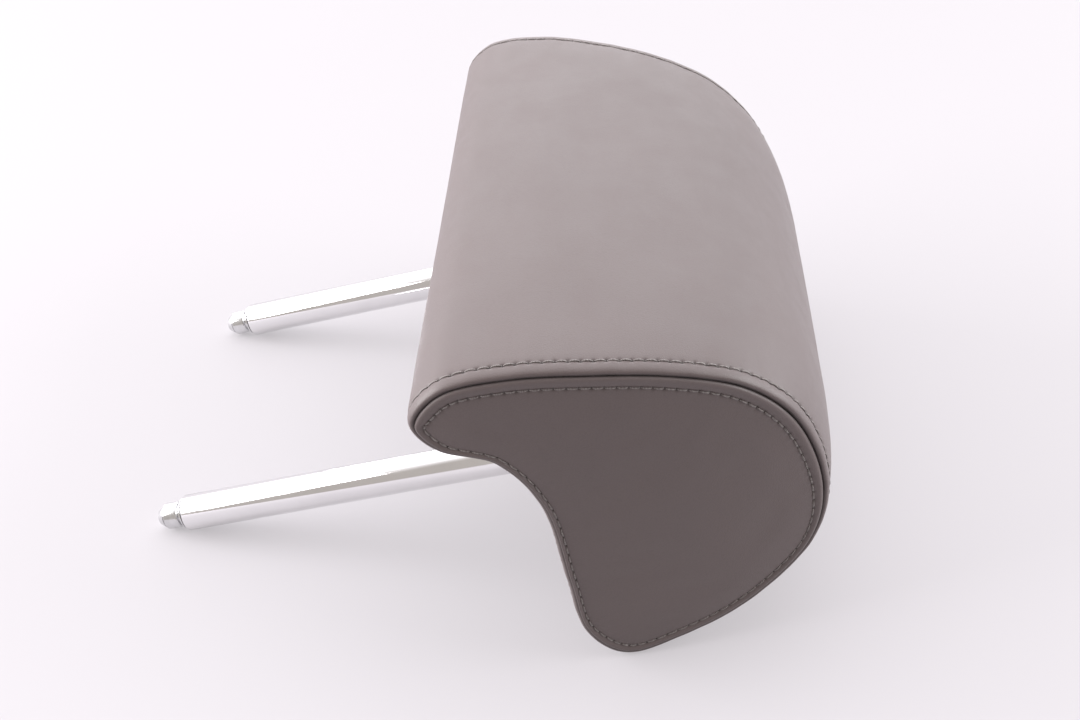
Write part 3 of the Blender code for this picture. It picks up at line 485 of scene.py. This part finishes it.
def fullness(inwards, half):
    """How much of the swell shows at a distance in from the side."""
    if inwards <= CENTRE_STITCH:
        return 0.0
    left = 1.0 - (inwards - CENTRE_STITCH) / (half - CENTRE_STITCH)
    return 1.0 - max(0.0, left) ** SWELL_FLATNESS


def centre_ring(bm, side, row, painted_shades, drape):
    """One ring of the centre panel round the whole outline."""
    edge, outwards, depth, share = row
    ring = []
    for index, (point, normal, swell) in enumerate(OUTLINE):
        half = side_x(point.x, point.y)
        inwards = edge if share is None else half - (half - edge) * share
        lift = outwards + swell * fullness(inwards, half) + drape(side, index, inwards, half)
        away = abs(inwards - CENTRE_STITCH)
        lift += pucker(index, away)
        hole = stitch_hole(index, away)
        spot = point + normal * (lift - HOLE_DEPTH * hole)
        vert = bm.verts.new(place_pad(side * (half - inwards), spot.x, spot.y))
        # Painted shade on the groove's rows and in the needle holes.
        painted_shades[vert] = max(depth, HOLE_PAINTED_SHADE * hole)
        ring.append(vert)
    return ring


def build_centre_cover(drape):
    """The strip over lip, front, crown, lobe and underside, with its lining."""
    bm = leather_bmesh()
    painted_shades = {}
    section = centre_section()
    right = [centre_ring(bm, 1, row, painted_shades, drape) for row in section]
    middle = [centre_ring(bm, 1, (CENTRE_EDGE[-1][0], BASE_HEIGHT, 0.0, 0.0), painted_shades, drape)]
    left = [centre_ring(bm, -1, row, painted_shades, drape) for row in reversed(section)]
    # The lining takes the full painted shade.
    lining = [(CENTRE_EDGE[-1][0], BASE_HEIGHT - LEATHER_WALL, 1.0, share) for share in LINING_SHARES]
    inner = [centre_ring(bm, -1, row, painted_shades, drape) for row in lining]
    inner += [centre_ring(bm, 1, row, painted_shades, drape) for row in reversed(lining)]
    skin_rings(bm, right + middle + left + inner, closed=True)
    mark_painted_shade(bm, painted_shades)
    return add_piece("leather_centre_cover", bm, "pad", LEATHER, ["cover_center_panel"])


# ---------------------------------------------------------------- cloth
# The centre panel's cloth is a grid of these many steps round and across
CLOTH_COLUMNS = 88
CLOTH_ROWS = 21
CLOTH_FRAMES = 20
CLOTH_PRESSURE = 3.5
# Largest lift in millimetres that the cloth adds to the centre panel and to a side panel
CENTRE_LIFT = 0.7
SIDE_LIFT = 0.9


def inflate(mesh, pinned):
    """Let a sheet swell between its pinned seams; gives where each vertex comes to rest."""
    sheet = bpy.data.objects.new("cloth_sheet", mesh)
    bpy.context.scene.collection.objects.link(sheet)
    sheet.vertex_groups.new(name="seam").add(pinned, 1.0, "REPLACE")
    cloth = sheet.modifiers.new("cloth", "CLOTH")
    cloth.settings.quality = 6
    cloth.settings.mass = 0.25
    cloth.settings.tension_stiffness = 25.0
    cloth.settings.compression_stiffness = 25.0
    cloth.settings.shear_stiffness = 10.0
    cloth.settings.bending_stiffness = 1.5
    cloth.settings.shrink_min = -0.012
    cloth.settings.use_pressure = True
    cloth.settings.uniform_pressure_force = CLOTH_PRESSURE
    cloth.settings.effector_weights.gravity = 0.0
    cloth.settings.vertex_group_mass = "seam"
    cloth.collision_settings.use_collision = False
    cloth.point_cache.frame_start, cloth.point_cache.frame_end = 1, CLOTH_FRAMES
    for number in range(1, CLOTH_FRAMES + 1):
        bpy.context.scene.frame_set(number)
    graph = bpy.context.evaluated_depsgraph_get()
    rested = [vert.co.copy() for vert in sheet.evaluated_get(graph).data.vertices]
    bpy.context.scene.frame_set(1)
    bpy.data.objects.remove(sheet, do_unlink=True)
    return rested


def drape_centre():
    """Cloth between the two stitch rows of the centre panel, as a lift in millimetres."""
    verts, normals = [], []
    for row in range(CLOTH_ROWS):
        across = -1.0 + 2.0 * row / (CLOTH_ROWS - 1)
        for column in range(CLOTH_COLUMNS):
            point, normal, swell = OUTLINE[column * RING_POINTS // CLOTH_COLUMNS]
            half = side_x(point.x, point.y)
            inwards = half - abs(across) * (half - CENTRE_STITCH)
            spot = point + normal * (BASE_HEIGHT + swell * fullness(inwards, half))
            verts.append(Vector((across * (half - CENTRE_STITCH), spot.x, spot.y)) * MM)
            normals.append(Vector((0.0, normal.x, normal.y)))
    faces = []
    for row in range(CLOTH_ROWS - 1):
        for column in range(CLOTH_COLUMNS):
            after = (column + 1) % CLOTH_COLUMNS
            low, high = row * CLOTH_COLUMNS, (row + 1) * CLOTH_COLUMNS
            faces.append((low + column, high + column, high + after, low + after))
    mesh = bpy.data.meshes.new("cloth_sheet")
    mesh.from_pydata(verts, [], faces)
    last = (CLOTH_ROWS - 1) * CLOTH_COLUMNS
    pinned = list(range(CLOTH_COLUMNS)) + list(range(last, last + CLOTH_COLUMNS))
    rested = inflate(mesh, pinned)
    lifts = [(place - start).dot(normal) / MM for place, start, normal in zip(rested, verts, normals)]
    peak = max(1e-6, *(abs(lift) for lift in lifts))
    lifts = [CENTRE_LIFT * lift / peak for lift in lifts]

    def drape(side, index, inwards, half):
        if inwards <= CENTRE_STITCH:
            return 0.0
        across = side * (half - inwards) / (half - CENTRE_STITCH)
        row = (across + 1.0) / 2.0 * (CLOTH_ROWS - 1)
        column = index * CLOTH_COLUMNS / RING_POINTS
        row_low = min(int(row), CLOTH_ROWS - 2)
        column_low = int(column)
        blend = 0.0
        for row_step, row_share in ((0, 1.0 - (row - row_low)), (1, row - row_low)):
            for column_step, column_share in ((0, 1.0 - (column - column_low)), (1, column - column_low)):
                key = (row_low + row_step) * CLOTH_COLUMNS + (column_low + column_step) % CLOTH_COLUMNS
                blend += lifts[key] * row_share * column_share
        return blend

    return drape


SIDE_EDGE = (
    # in from the seam outline, out from the side plane, share of the painted shade in the groove
    (2.5, -2.6, 1.0), (1.95, -1.5, 1.0), (1.6, -0.8, 1.0), (1.45, -0.25, 0.8), (1.5, 0.2, 0.35),
    (1.7, 0.6, 0.05), (2.1, 0.86, 0.0), (2.6, 0.96, 0.0), (3.25, 0.9, 0.0), (4.0, 0.66, 0.0),
    (4.7, 0.4, 0.0), (5.1, 0.3, 0.0), (5.3, 0.28, 0.0), (5.55, 0.3, 0.0), (6.0, 0.38, 0.0),
    (6.9, 0.46, 0.0),
)
SIDE_INSET, SIDE_EDGE_HEIGHT, _ = SIDE_EDGE[-1]
SIDE_PITCH = 3.2
SIDE_ROW_PITCH = SIDE_PITCH * 0.866
SMOOTHING_PASSES = 40
# Inside its stitches a side panel dips by this much over this run, then fills out by the rest
DIP_DEPTH = 0.75
DIP_RUN = 9.0
CROWN_HEIGHT = 0.5
CROWN_RUN = 28.0


def eased(low, high, value):
    """0 below low, 1 above high, and a smooth rise between them."""
    share = min(1.0, max(0.0, (value - low) / (high - low)))
    return share * share * (3 - 2 * share)


def side_reach(point, normal):
    """How far the side seam's profile is stretched inwards: widest on top, narrowest in the hollow."""
    around = UNDERSIDE_REACH + (TOP_REACH - UNDERSIDE_REACH) * eased(FACING_DOWN, FACING_UP, normal.y)
    hollow = 1.0 - eased(HOLLOW_NEAR, HOLLOW_FAR, (point - HOLLOW_MIDDLE).length)
    return around + (HOLLOW_REACH - around) * hollow


def distance_to_seam(spot):
    """Distance from a point of the side panel to the nearest point of the seam."""
    return min((spot - point).length for point, _, _ in OUTLINE)


def inside(spot, ring):
    """Whether a point lies inside a closed ring of points."""
    hit = False
    for here, there in zip(ring, ring[1:] + ring[:1]):
        if (here.y > spot.y) != (there.y > spot.y):
            if spot.x < here.x + (spot.y - here.y) / (there.y - here.y) * (there.x - here.x):
                hit = not hit
    return hit


def side_filling(edge):
    """Even grid of points inside the side panel's stitched edge, joined to it by triangles."""
    margin = SIDE_INSET + 0.7 * SIDE_PITCH
    low = Vector((min(point.x for point in edge), min(point.y for point in edge)))
    high = Vector((max(point.x for point in edge), max(point.y for point in edge)))
    grid = []
    rows = int((high.y - low.y) / SIDE_ROW_PITCH) + 1
    columns = int((high.x - low.x) / SIDE_PITCH) + 1
    for row in range(rows):
        for column in range(columns):
            spot = low + Vector(((column + 0.5 * (row % 2)) * SIDE_PITCH, row * SIDE_ROW_PITCH))
            if inside(spot, edge) and distance_to_seam(spot) > margin:
                grid.append(spot)
    rim = [(index, (index + 1) % len(edge)) for index in range(len(edge))]
    return delaunay_2d_cdt(edge + grid, rim, [], 1, 0.00001)


def side_height(depth):
    """The side panel dips inside its stitches and comes up full in the middle."""
    inwards = depth - SIDE_INSET
    dip = DIP_DEPTH * math.sin(min(1.0, inwards / DIP_RUN) * math.pi)
    return SIDE_EDGE_HEIGHT - dip + CROWN_HEIGHT * min(1.0, inwards / CROWN_RUN)


def settle_side(spots, triangles, edge_count, heights):
    """Cloth inside the side panel's stitches, as heights in millimetres out from the side plane."""
    verts = []
    for spot, height in zip(spots, heights):
        verts.append(Vector((side_x(spot.x, spot.y) + height, spot.x, spot.y)) * MM)
    mesh = bpy.data.meshes.new("cloth_sheet")
    mesh.from_pydata(verts, [], triangles)
    rested = inflate(mesh, list(range(edge_count)))
    lifts = [(place.x - start.x) / MM for place, start in zip(rested, verts)]
    peak = max(1e-6, *(abs(lift) for lift in lifts))
    return [height + SIDE_LIFT * lift / peak for height, lift in zip(heights, lifts)]


def smoothed(heights, triangles, edge_count):
    """Even out the heights inside the stitched edge."""
    around = [set() for _ in heights]
    for corners in triangles:
        for vert in corners:
            around[vert].update(other for other in corners if other != vert)
    for _ in range(SMOOTHING_PASSES):
        means = [sum(heights[k] for k in near) / max(1, len(near)) for near in around]
        heights = heights[:edge_count] + [
            0.5 * height + 0.5 * mean for height, mean in zip(heights[edge_count:], means[edge_count:])
        ]
    return heights


def side_panel_shape():
    """Interior of a side panel, the same for both: places, heights and triangles."""
    edge = [point - normal * SIDE_INSET * side_reach(point, normal) for point, normal, _ in OUTLINE]
    spots, _, triangles, _, _, _ = side_filling(edge)
    heights = [SIDE_EDGE_HEIGHT] * len(edge)
    heights += [side_height(distance_to_seam(spot)) for spot in spots[len(edge):]]
    heights = smoothed(heights, triangles, len(edge))
    heights = settle_side(spots, triangles, len(edge), heights)
    return spots, heights, triangles


def build_side_cover(label, side, shape):
    """A side panel: rolled edge rings, the filling inside them, and its lining."""
    bm = leather_bmesh()
    painted_shades = {}
    rings = []
    for inset, out, depth in SIDE_EDGE:
        ring = []
        away = abs(inset - SIDE_STITCH)
        for index, (point, normal, _) in enumerate(OUTLINE):
            hole = stitch_hole(index, away)
            rise = out + SIDE_PUCKER_SHARE * pucker(index, away) - SIDE_HOLE_SHARE * HOLE_DEPTH * hole
            spot = point - normal * inset * side_reach(point, normal)
            vert = bm.verts.new(place_pad(side * (side_x(spot.x, spot.y) + rise), spot.x, spot.y))
            # Painted shade on the groove's rows and in the needle holes.
            painted_shades[vert] = max(depth, HOLE_PAINTED_SHADE * hole)
            ring.append(vert)
        rings.append(ring)
    skin_rings(bm, rings)
    spots, heights, triangles = shape
    for lining in (False, True):
        rim = rings[0] if lining else rings[-1]
        verts = list(rim)
        for spot, height in zip(spots[len(rim):], heights[len(rim):]):
            rise = height - LEATHER_WALL if lining else height
            verts.append(bm.verts.new(place_pad(side * (side_x(spot.x, spot.y) + rise), spot.x, spot.y)))
        for corners in triangles:
            bm.faces.new([verts[key] for key in corners])
    mark_painted_shade(bm, painted_shades)
    return add_piece(f"leather_side_{label}", bm, "pad", LEATHER, [f"cover_side_{label}"])


# ---------------------------------------------------------------- stitches
def add_stitch(bm, start, end, up, sides=6, steps=6):
    """One thread: an arch from hole to hole whose ends dip into the leather."""
    along = end - start
    across = along.cross(up).normalized()
    rise = across.cross(along).normalized()
    rings = []
    for step in range(steps + 1):
        t = step / steps
        height = (math.sin(math.pi * t) ** 0.6 * 0.45 - 0.3) * MM
        width = STITCH_RADIUS * MM * (0.55 + 0.45 * math.sin(math.pi * t) ** 0.5)
        centre = start.lerp(end, 0.04 + 0.92 * t) + rise * height
        ring = []
        for side in range(sides):
            angle = 2 * math.pi * side / sides
            ring.append(bm.verts.new(centre + (across * math.cos(angle) + rise * math.sin(angle)) * width))
        rings.append(ring)
    skin_rings(bm, rings)
    bm.faces.new(list(reversed(rings[0])))
    bm.faces.new(rings[-1])


def outline_at(share):
    """Outline point and normal at a share of its length."""
    place = (share % 1.0) * RING_POINTS
    index = int(place)
    point, normal, _ = OUTLINE[index]
    next_point, next_normal, _ = OUTLINE[(index + 1) % RING_POINTS]
    return point.lerp(next_point, place - index), normal.lerp(next_normal, place - index).normalized()


def centre_stitch_place(side, share):
    """Place and upward direction of the centre panel's thread at a share of the outline."""
    point, normal = outline_at(share)
    spot = point + normal * (CENTRE_STITCH_HEIGHT + STITCH_STAND)
    place = place_pad(side * (side_x(point.x, point.y) - CENTRE_STITCH), spot.x, spot.y)
    return place, Vector((0.0, normal.x, normal.y))


def side_stitch_place(side, share):
    """Place and upward direction of the side panel's thread at a share of the outline."""
    point, normal = outline_at(share)
    spot = point - normal * SIDE_STITCH * side_reach(point, normal)
    across = side_x(spot.x, spot.y) + SIDE_STITCH_HEIGHT + STITCH_STAND
    return place_pad(side * across, spot.x, spot.y), Vector((side, 0.0, 0.0))


def build_stitch_row(name, placer, side):
    bm = bmesh.new()
    for number in range(STITCH_COUNT):
        start, up = placer(side, number / STITCH_COUNT)
        end, up_end = placer(side, (number + 1) / STITCH_COUNT)
        add_stitch(bm, start, end, (up + up_end).normalized())
    return add_piece(name, bm, "pad", THREAD)


# ---------------------------------------------------------------- posts and tips
def post_centreline():
    """Points along the bent tube's centreline, in millimetres about the pivot."""
    points = [(-POST_HALF_SPACING / MM, -POST_REACH)]
    for side, start in ((-1, math.pi), (1, math.pi / 2)):
        for step in range(BEND_STEPS + 1):
            angle = start - (math.pi / 2) * step / BEND_STEPS
            x = side * (POST_HALF_SPACING / MM - BEND_RADIUS) + BEND_RADIUS * math.cos(angle)
            points.append((x, -BEND_RADIUS + BEND_RADIUS * math.sin(angle)))
    points.append((POST_HALF_SPACING / MM, -POST_REACH))
    return [Vector((x, y, 0.0)) for x, y in points]


def build_posts():
    """One bent chromed tube: its wall is rounded over at both open ends."""
    line = post_centreline()
    first_way = (line[1] - line[0]).normalized()
    last_way = (line[-1] - line[-2]).normalized()
    ways = [(line[i + 1] - line[i - 1]).normalized() for i in range(1, len(line) - 1)]
    bends = list(zip(line[1:-1], ways))
    stations = [(line[0] + first_way * offset, first_way, radius) for offset, radius in TUBE_RIM]
    stations += [(centre, way, POST_RADIUS) for centre, way in bends]
    stations += [(line[-1] - last_way * offset, last_way, radius) for offset, radius in reversed(TUBE_RIM)]
    stations += [(line[-1] - last_way * offset, last_way, POST_BORE) for offset in (RIM_LIP, BORE_DEPTH)]
    stations += [(centre, way, POST_BORE) for centre, way in reversed(bends)]
    stations += [(line[0] + first_way * offset, first_way, POST_BORE) for offset in (BORE_DEPTH, RIM_LIP)]
    bm = bmesh.new()
    rings = []
    for centre, way, radius in stations:
        across = Vector((-way.y, way.x, 0.0))
        ring = []
        for step in range(POST_SIDES):
            angle = 2 * math.pi * step / POST_SIDES
            spot = centre + (across * math.cos(angle) + Vector((0, 0, 1)) * math.sin(angle)) * radius
            ring.append(bm.verts.new(ALONG_POSTS @ (spot * MM)))
        rings.append(ring)
    skin_rings(bm, rings, closed=True)
    return add_piece("chromed_post_frame", bm, "posts", CHROME, ["post_frame"])


# Radius and height above the tube's end: spigot, shoulder, neck, round head, groove, cone and flat nose
TIP_PROFILE = (
    (0.001, 16.0), (4.7, 16.0), (4.7, -0.3), (6.1, -0.3), (6.1, -0.75), (5.6, -1.0), (3.7, -1.05),
    (3.7, -2.4), (4.6, -2.4), (5.1, -2.95), (5.1, -7.85), (4.9, -8.05), (4.0, -8.1), (4.0, -8.5),
    (4.5, -8.55), (3.0, -10.75), (2.7, -11.0), (0.001, -11.0),
)
TIP_EDGE_RADIUS = 0.12


def build_tip(label, side):
    """Turned tip that is pressed into the tube's end."""
    profile = rounded(TIP_PROFILE, TIP_EDGE_RADIUS)
    profile = [(0.0, TIP_PROFILE[0][1]), *profile[1:-1], (0.0, TIP_PROFILE[-1][1])]
    place = ALONG_POSTS @ Matrix.Translation((side * POST_HALF_SPACING, -POST_REACH * MM, 0.0))
    place = place @ Matrix.Rotation(-math.pi / 2, 4, "X")
    name = f"turned_tip_{label}"
    return turned_piece(name, profile, "posts", TIP_STEEL, [f"post_tip_{label}"], place)


# ---------------------------------------------------------------- underside trim
MOUTH_HALF_WIDTH = POST_RADIUS + 1.0
FLANGE_THICKNESS = 2.0
SLEEVE_WALL = 1.2
BEZEL_ROUNDING = 0.9
CUT_UNDER_FLANGE = 1.5
CLOSURE_GAP = 0.3
# Reach of the cutters along the posts' direction, well clear of the leather on both sides
CLOSURE_CUT_MIDDLE = -27.0
CLOSURE_CUT_DEPTH = 30.0
SLOT_CUT_RANGE = (-45.0, -8.0)


def span_along_posts(*names):
    """Smallest and largest corner of CAD nodes, in millimetres, turned to lie along the posts."""
    upright = ALONG_POSTS.inverted()
    points = [upright @ vert.co for name in names for vert in frame["nodes"][name].data.vertices]
    low = Vector([min(point[axis] for point in points) for axis in range(3)])
    high = Vector([max(point[axis] for point in points) for axis in range(3)])
    return low / MM, high / MM


def build_bezel(label, side):
    """Slot bezel: a soft-edged flange round the slot with a sleeve into the foam."""
    low, high = span_along_posts(f"slot_bezel_{label}")
    flange = (high.x - low.x) / 2 - MOUTH_HALF_WIDTH
    face, foot = -low.y, -high.y
    section = rounded((
        (0.0, foot), (0.0, face), (flange, face), (flange, face - FLANGE_THICKNESS),
        (SLEEVE_WALL, face - FLANGE_THICKNESS), (SLEEVE_WALL, foot), (0.0, foot),
    ), BEZEL_ROUNDING)
    bm = bmesh.new()
    rings = []
    for margin, height in section[:-1]:
        ring = []
        for spot, normal in obround(MOUTH_HALF_WIDTH, low.z + flange, high.z - flange):
            out = spot + normal * margin
            place = Vector((out.x + side * POST_HALF_SPACING / MM, -height, out.y)) * MM
            ring.append(bm.verts.new(ALONG_POSTS @ place))
        rings.append(ring)
    skin_rings(bm, rings, closed=True)
    return add_piece(f"bezel_{label}", bm, "pad", TRIM_PLASTIC, [f"slot_bezel_{label}"])


def closure_cutter():
    """Box through the leather over both closure strips."""
    low, high = span_along_posts("closure_strip_upper", "closure_strip_lower")
    gap = Vector((CLOSURE_GAP, 0.0, CLOSURE_GAP))
    size = high - low + 2 * gap
    size.y = CLOSURE_CUT_DEPTH
    middle = Vector((0.0, CLOSURE_CUT_MIDDLE, (low.z + high.z) / 2))
    bm = bmesh.new()
    place = ALONG_POSTS @ Matrix.Translation(middle * MM) @ Matrix.Diagonal((*(size * MM), 1.0))
    bmesh.ops.create_cube(bm, size=1.0, matrix=place)
    return bm


def slot_cutter(label, side):
    """Upright round-ended bar through the leather under a bezel's flange."""
    low, high = span_along_posts(f"slot_bezel_{label}")
    flange = (high.x - low.x) / 2 - MOUTH_HALF_WIDTH - CUT_UNDER_FLANGE
    bm = bmesh.new()
    rings = []
    for depth in SLOT_CUT_RANGE:
        ring = []
        for spot, _ in obround(MOUTH_HALF_WIDTH + CUT_UNDER_FLANGE, low.z + flange, high.z - flange):
            place = Vector((spot.x + side * POST_HALF_SPACING / MM, depth, spot.y)) * MM
            ring.append(bm.verts.new(ALONG_POSTS @ place))
        rings.append(ring)
    skin_rings(bm, rings)
    bm.faces.new(list(reversed(rings[0])))
    bm.faces.new(rings[1])
    return bm


def cut_underside(cover):
    """Openings in the leather for the two slots and the closure strips."""
    cutters = []
    for bm in (closure_cutter(), *(slot_cutter(label, side) for label, side in SIDES)):
        bmesh.ops.recalc_face_normals(bm, faces=bm.faces)
        mesh = bpy.data.meshes.new("cutter")
        bm.to_mesh(mesh)
        bm.free()
        cutter = bpy.data.objects.new("cutter", mesh)
        bpy.context.scene.collection.objects.link(cutter)
        modifier = cover.modifiers.new("cut", "BOOLEAN")
        modifier.object = cutter
        modifier.operation = "DIFFERENCE"
        modifier.solver = "EXACT"
        cutters.append(cutter)
    graph = bpy.context.evaluated_depsgraph_get()
    cut = bpy.data.meshes.new_from_object(cover.evaluated_get(graph))
    cover.modifiers.clear()
    cover.data = cut
    for cutter in cutters:
        bpy.data.objects.remove(cutter, do_unlink=True)


# ---------------------------------------------------------------- build the pieces
centre_cover = build_centre_cover(drape_centre())
cut_underside(centre_cover)
side_shape = side_panel_shape()
for label, side in SIDES:
    side_cover = build_side_cover(label, side, side_shape)
    build_stitch_row(f"stitches_centre_{label}", centre_stitch_place, side)
    build_stitch_row(f"stitches_side_{label}", side_stitch_place, side)
    build_tip(label, side)
    build_bezel(label, side)
build_posts()

# Materials of the pieces that keep their CAD shapes, by how their names begin
NODE_MATERIALS = {
    "core_screw": ZINC, "core_front": CORE_PLASTIC, "core_rear": CORE_PLASTIC, "pivot_bush": ACETAL,
    "friction_clip": SPRING_STEEL, "stop_block": NYLON, "stop_pin": HARD_STEEL,
    "thrust_collar": HARD_STEEL, "foam": FOAM, "closure_strip": TRIM_PLASTIC,
}
for name, node in frame["nodes"].items():
    for start, material in NODE_MATERIALS.items():
        if name.startswith(start):
            node.data.materials.clear()
            node.data.materials.append(material)


# ---------------------------------------------------------------- floor, light and camera
FLOOR_HALF_SIZE = 30.0
FLOOR_COLOUR = (0.220, 0.209, 0.221)
FLOOR_GLOW = (1.0, 0.965, 1.0, 1.0)
GLOW_STRENGTH = 0.41
# Direction from the bright half of the sky to the dim one, and where the change starts and ends
DIM_SIDE = (0.985, 0.17, 0.0)
DIM_FROM = -0.35
DIM_TO = 0.45


def build_floor():
    """Pale floor with a faint glow of its own, as under a light tent."""
    bm = bmesh.new()
    bmesh.ops.create_grid(bm, x_segments=8, y_segments=8, size=FLOOR_HALF_SIZE)
    mesh = bpy.data.meshes.new("floor")
    bm.to_mesh(mesh)
    bm.free()
    floor = bpy.data.objects.new("floor", mesh)
    bpy.context.scene.collection.objects.link(floor)
    material, tree, shader = new_material("pale_floor", FLOOR_COLOUR, 0.7)
    shader.inputs["Emission Color"].default_value = FLOOR_GLOW
    shader.inputs["Emission Strength"].default_value = GLOW_STRENGTH
    tree.links.new(tinted(tree, FLOOR_COLOUR, noise(tree, 4.0), 0.99, 1.005), shader.inputs["Base Color"])
    shader.inputs["Specular IOR Level"].default_value = 0.1
    mesh.materials.append(material)


def build_studio(bright, dim, backdrop):
    """Sky that is bright behind the pad and dim on the camera's side, over a pale backdrop."""
    world = bpy.data.worlds.new("studio")
    world.use_nodes = True
    tree = world.node_tree
    ways = add_node(tree, "ShaderNodeTexCoord").outputs["Generated"]
    towards = add_node(tree, "ShaderNodeVectorMath", {0: ways, 1: DIM_SIDE}, operation="DOT_PRODUCT")
    turn = add_node(
        tree, "ShaderNodeMapRange",
        {
            "Value": towards.outputs["Value"], "From Min": DIM_FROM, "From Max": DIM_TO,
            "To Min": 0.0, "To Max": 1.0,
        },
        interpolation_type="SMOOTHSTEP",
    )
    sky = add_node(
        tree, "ShaderNodeMix", {"Factor": turn.outputs["Result"], "A": (*bright, 1.0), "B": (*dim, 1.0)},
        data_type="RGBA",
    )
    seen = add_node(tree, "ShaderNodeLightPath").outputs["Is Camera Ray"]
    background = tree.nodes["Background"]
    plain = add_node(tree, "ShaderNodeBackground", {"Color": (*backdrop, 1.0)})
    mix = add_node(tree, "ShaderNodeMixShader", {0: seen, 1: background.outputs[0], 2: plain.outputs[0]})
    tree.links.new(mix.outputs[0], tree.nodes["World Output"].inputs["Surface"])
    tree.links.new(sky.outputs[2], background.inputs["Color"])
    bpy.context.scene.world = world


def add_softbox(name, location, target, size, power):
    data = bpy.data.lights.new(name, "AREA")
    data.shape = "RECTANGLE"
    data.size, data.size_y = size
    data.energy = power
    light = bpy.data.objects.new(name, data)
    light.location = location
    light.rotation_euler = (Vector(target) - Vector(location)).to_track_quat("-Z", "Y").to_euler()
    bpy.context.scene.collection.objects.link(light)


CAMERA_PLACE = (0.4691, 0.0401, 0.3996)
CAMERA_TURN = 92.4
CAMERA_DROP = 37.65
CAMERA_LENS = 48.33
SENSOR_WIDTH = 36.0


def build_camera():
    """Three-quarter view from the pad's right, looking down on the front face."""
    data = bpy.data.cameras.new("camera")
    data.sensor_width = SENSOR_WIDTH
    data.lens = CAMERA_LENS
    data.clip_start, data.clip_end = 0.01, 20.0
    camera = bpy.data.objects.new("camera", data)
    camera.location = CAMERA_PLACE
    turn, drop = math.radians(CAMERA_TURN), math.radians(CAMERA_DROP)
    ahead = Vector((-math.sin(turn) * math.cos(drop), math.cos(turn) * math.cos(drop), -math.sin(drop)))
    camera.rotation_euler = ahead.to_track_quat("-Z", "Y").to_euler()
    bpy.context.scene.collection.objects.link(camera)
    bpy.context.scene.camera = camera


build_floor()
# Lights for a picture taken from the pad's right: brightest from behind, weaker from both ends
build_studio((2.24, 2.22, 2.27), (0.56, 0.52, 0.49), (0.87, 0.85, 0.87))
add_softbox("back_softbox", (-0.75, 0.05, 0.85), (-0.3, 0.0, 0.0), (1.3, 1.6), 4.0)
add_softbox("left_softbox", (0.1, -1.25, 0.55), (0.05, 0.0, 0.0), (1.2, 0.7), 32.0)
add_softbox("right_softbox", (-0.1, 1.3, 0.6), (0.0, 0.05, 0.05), (1.0, 0.7), 16.0)
bpy.context.scene.view_settings.view_transform = "Standard"
build_camera()
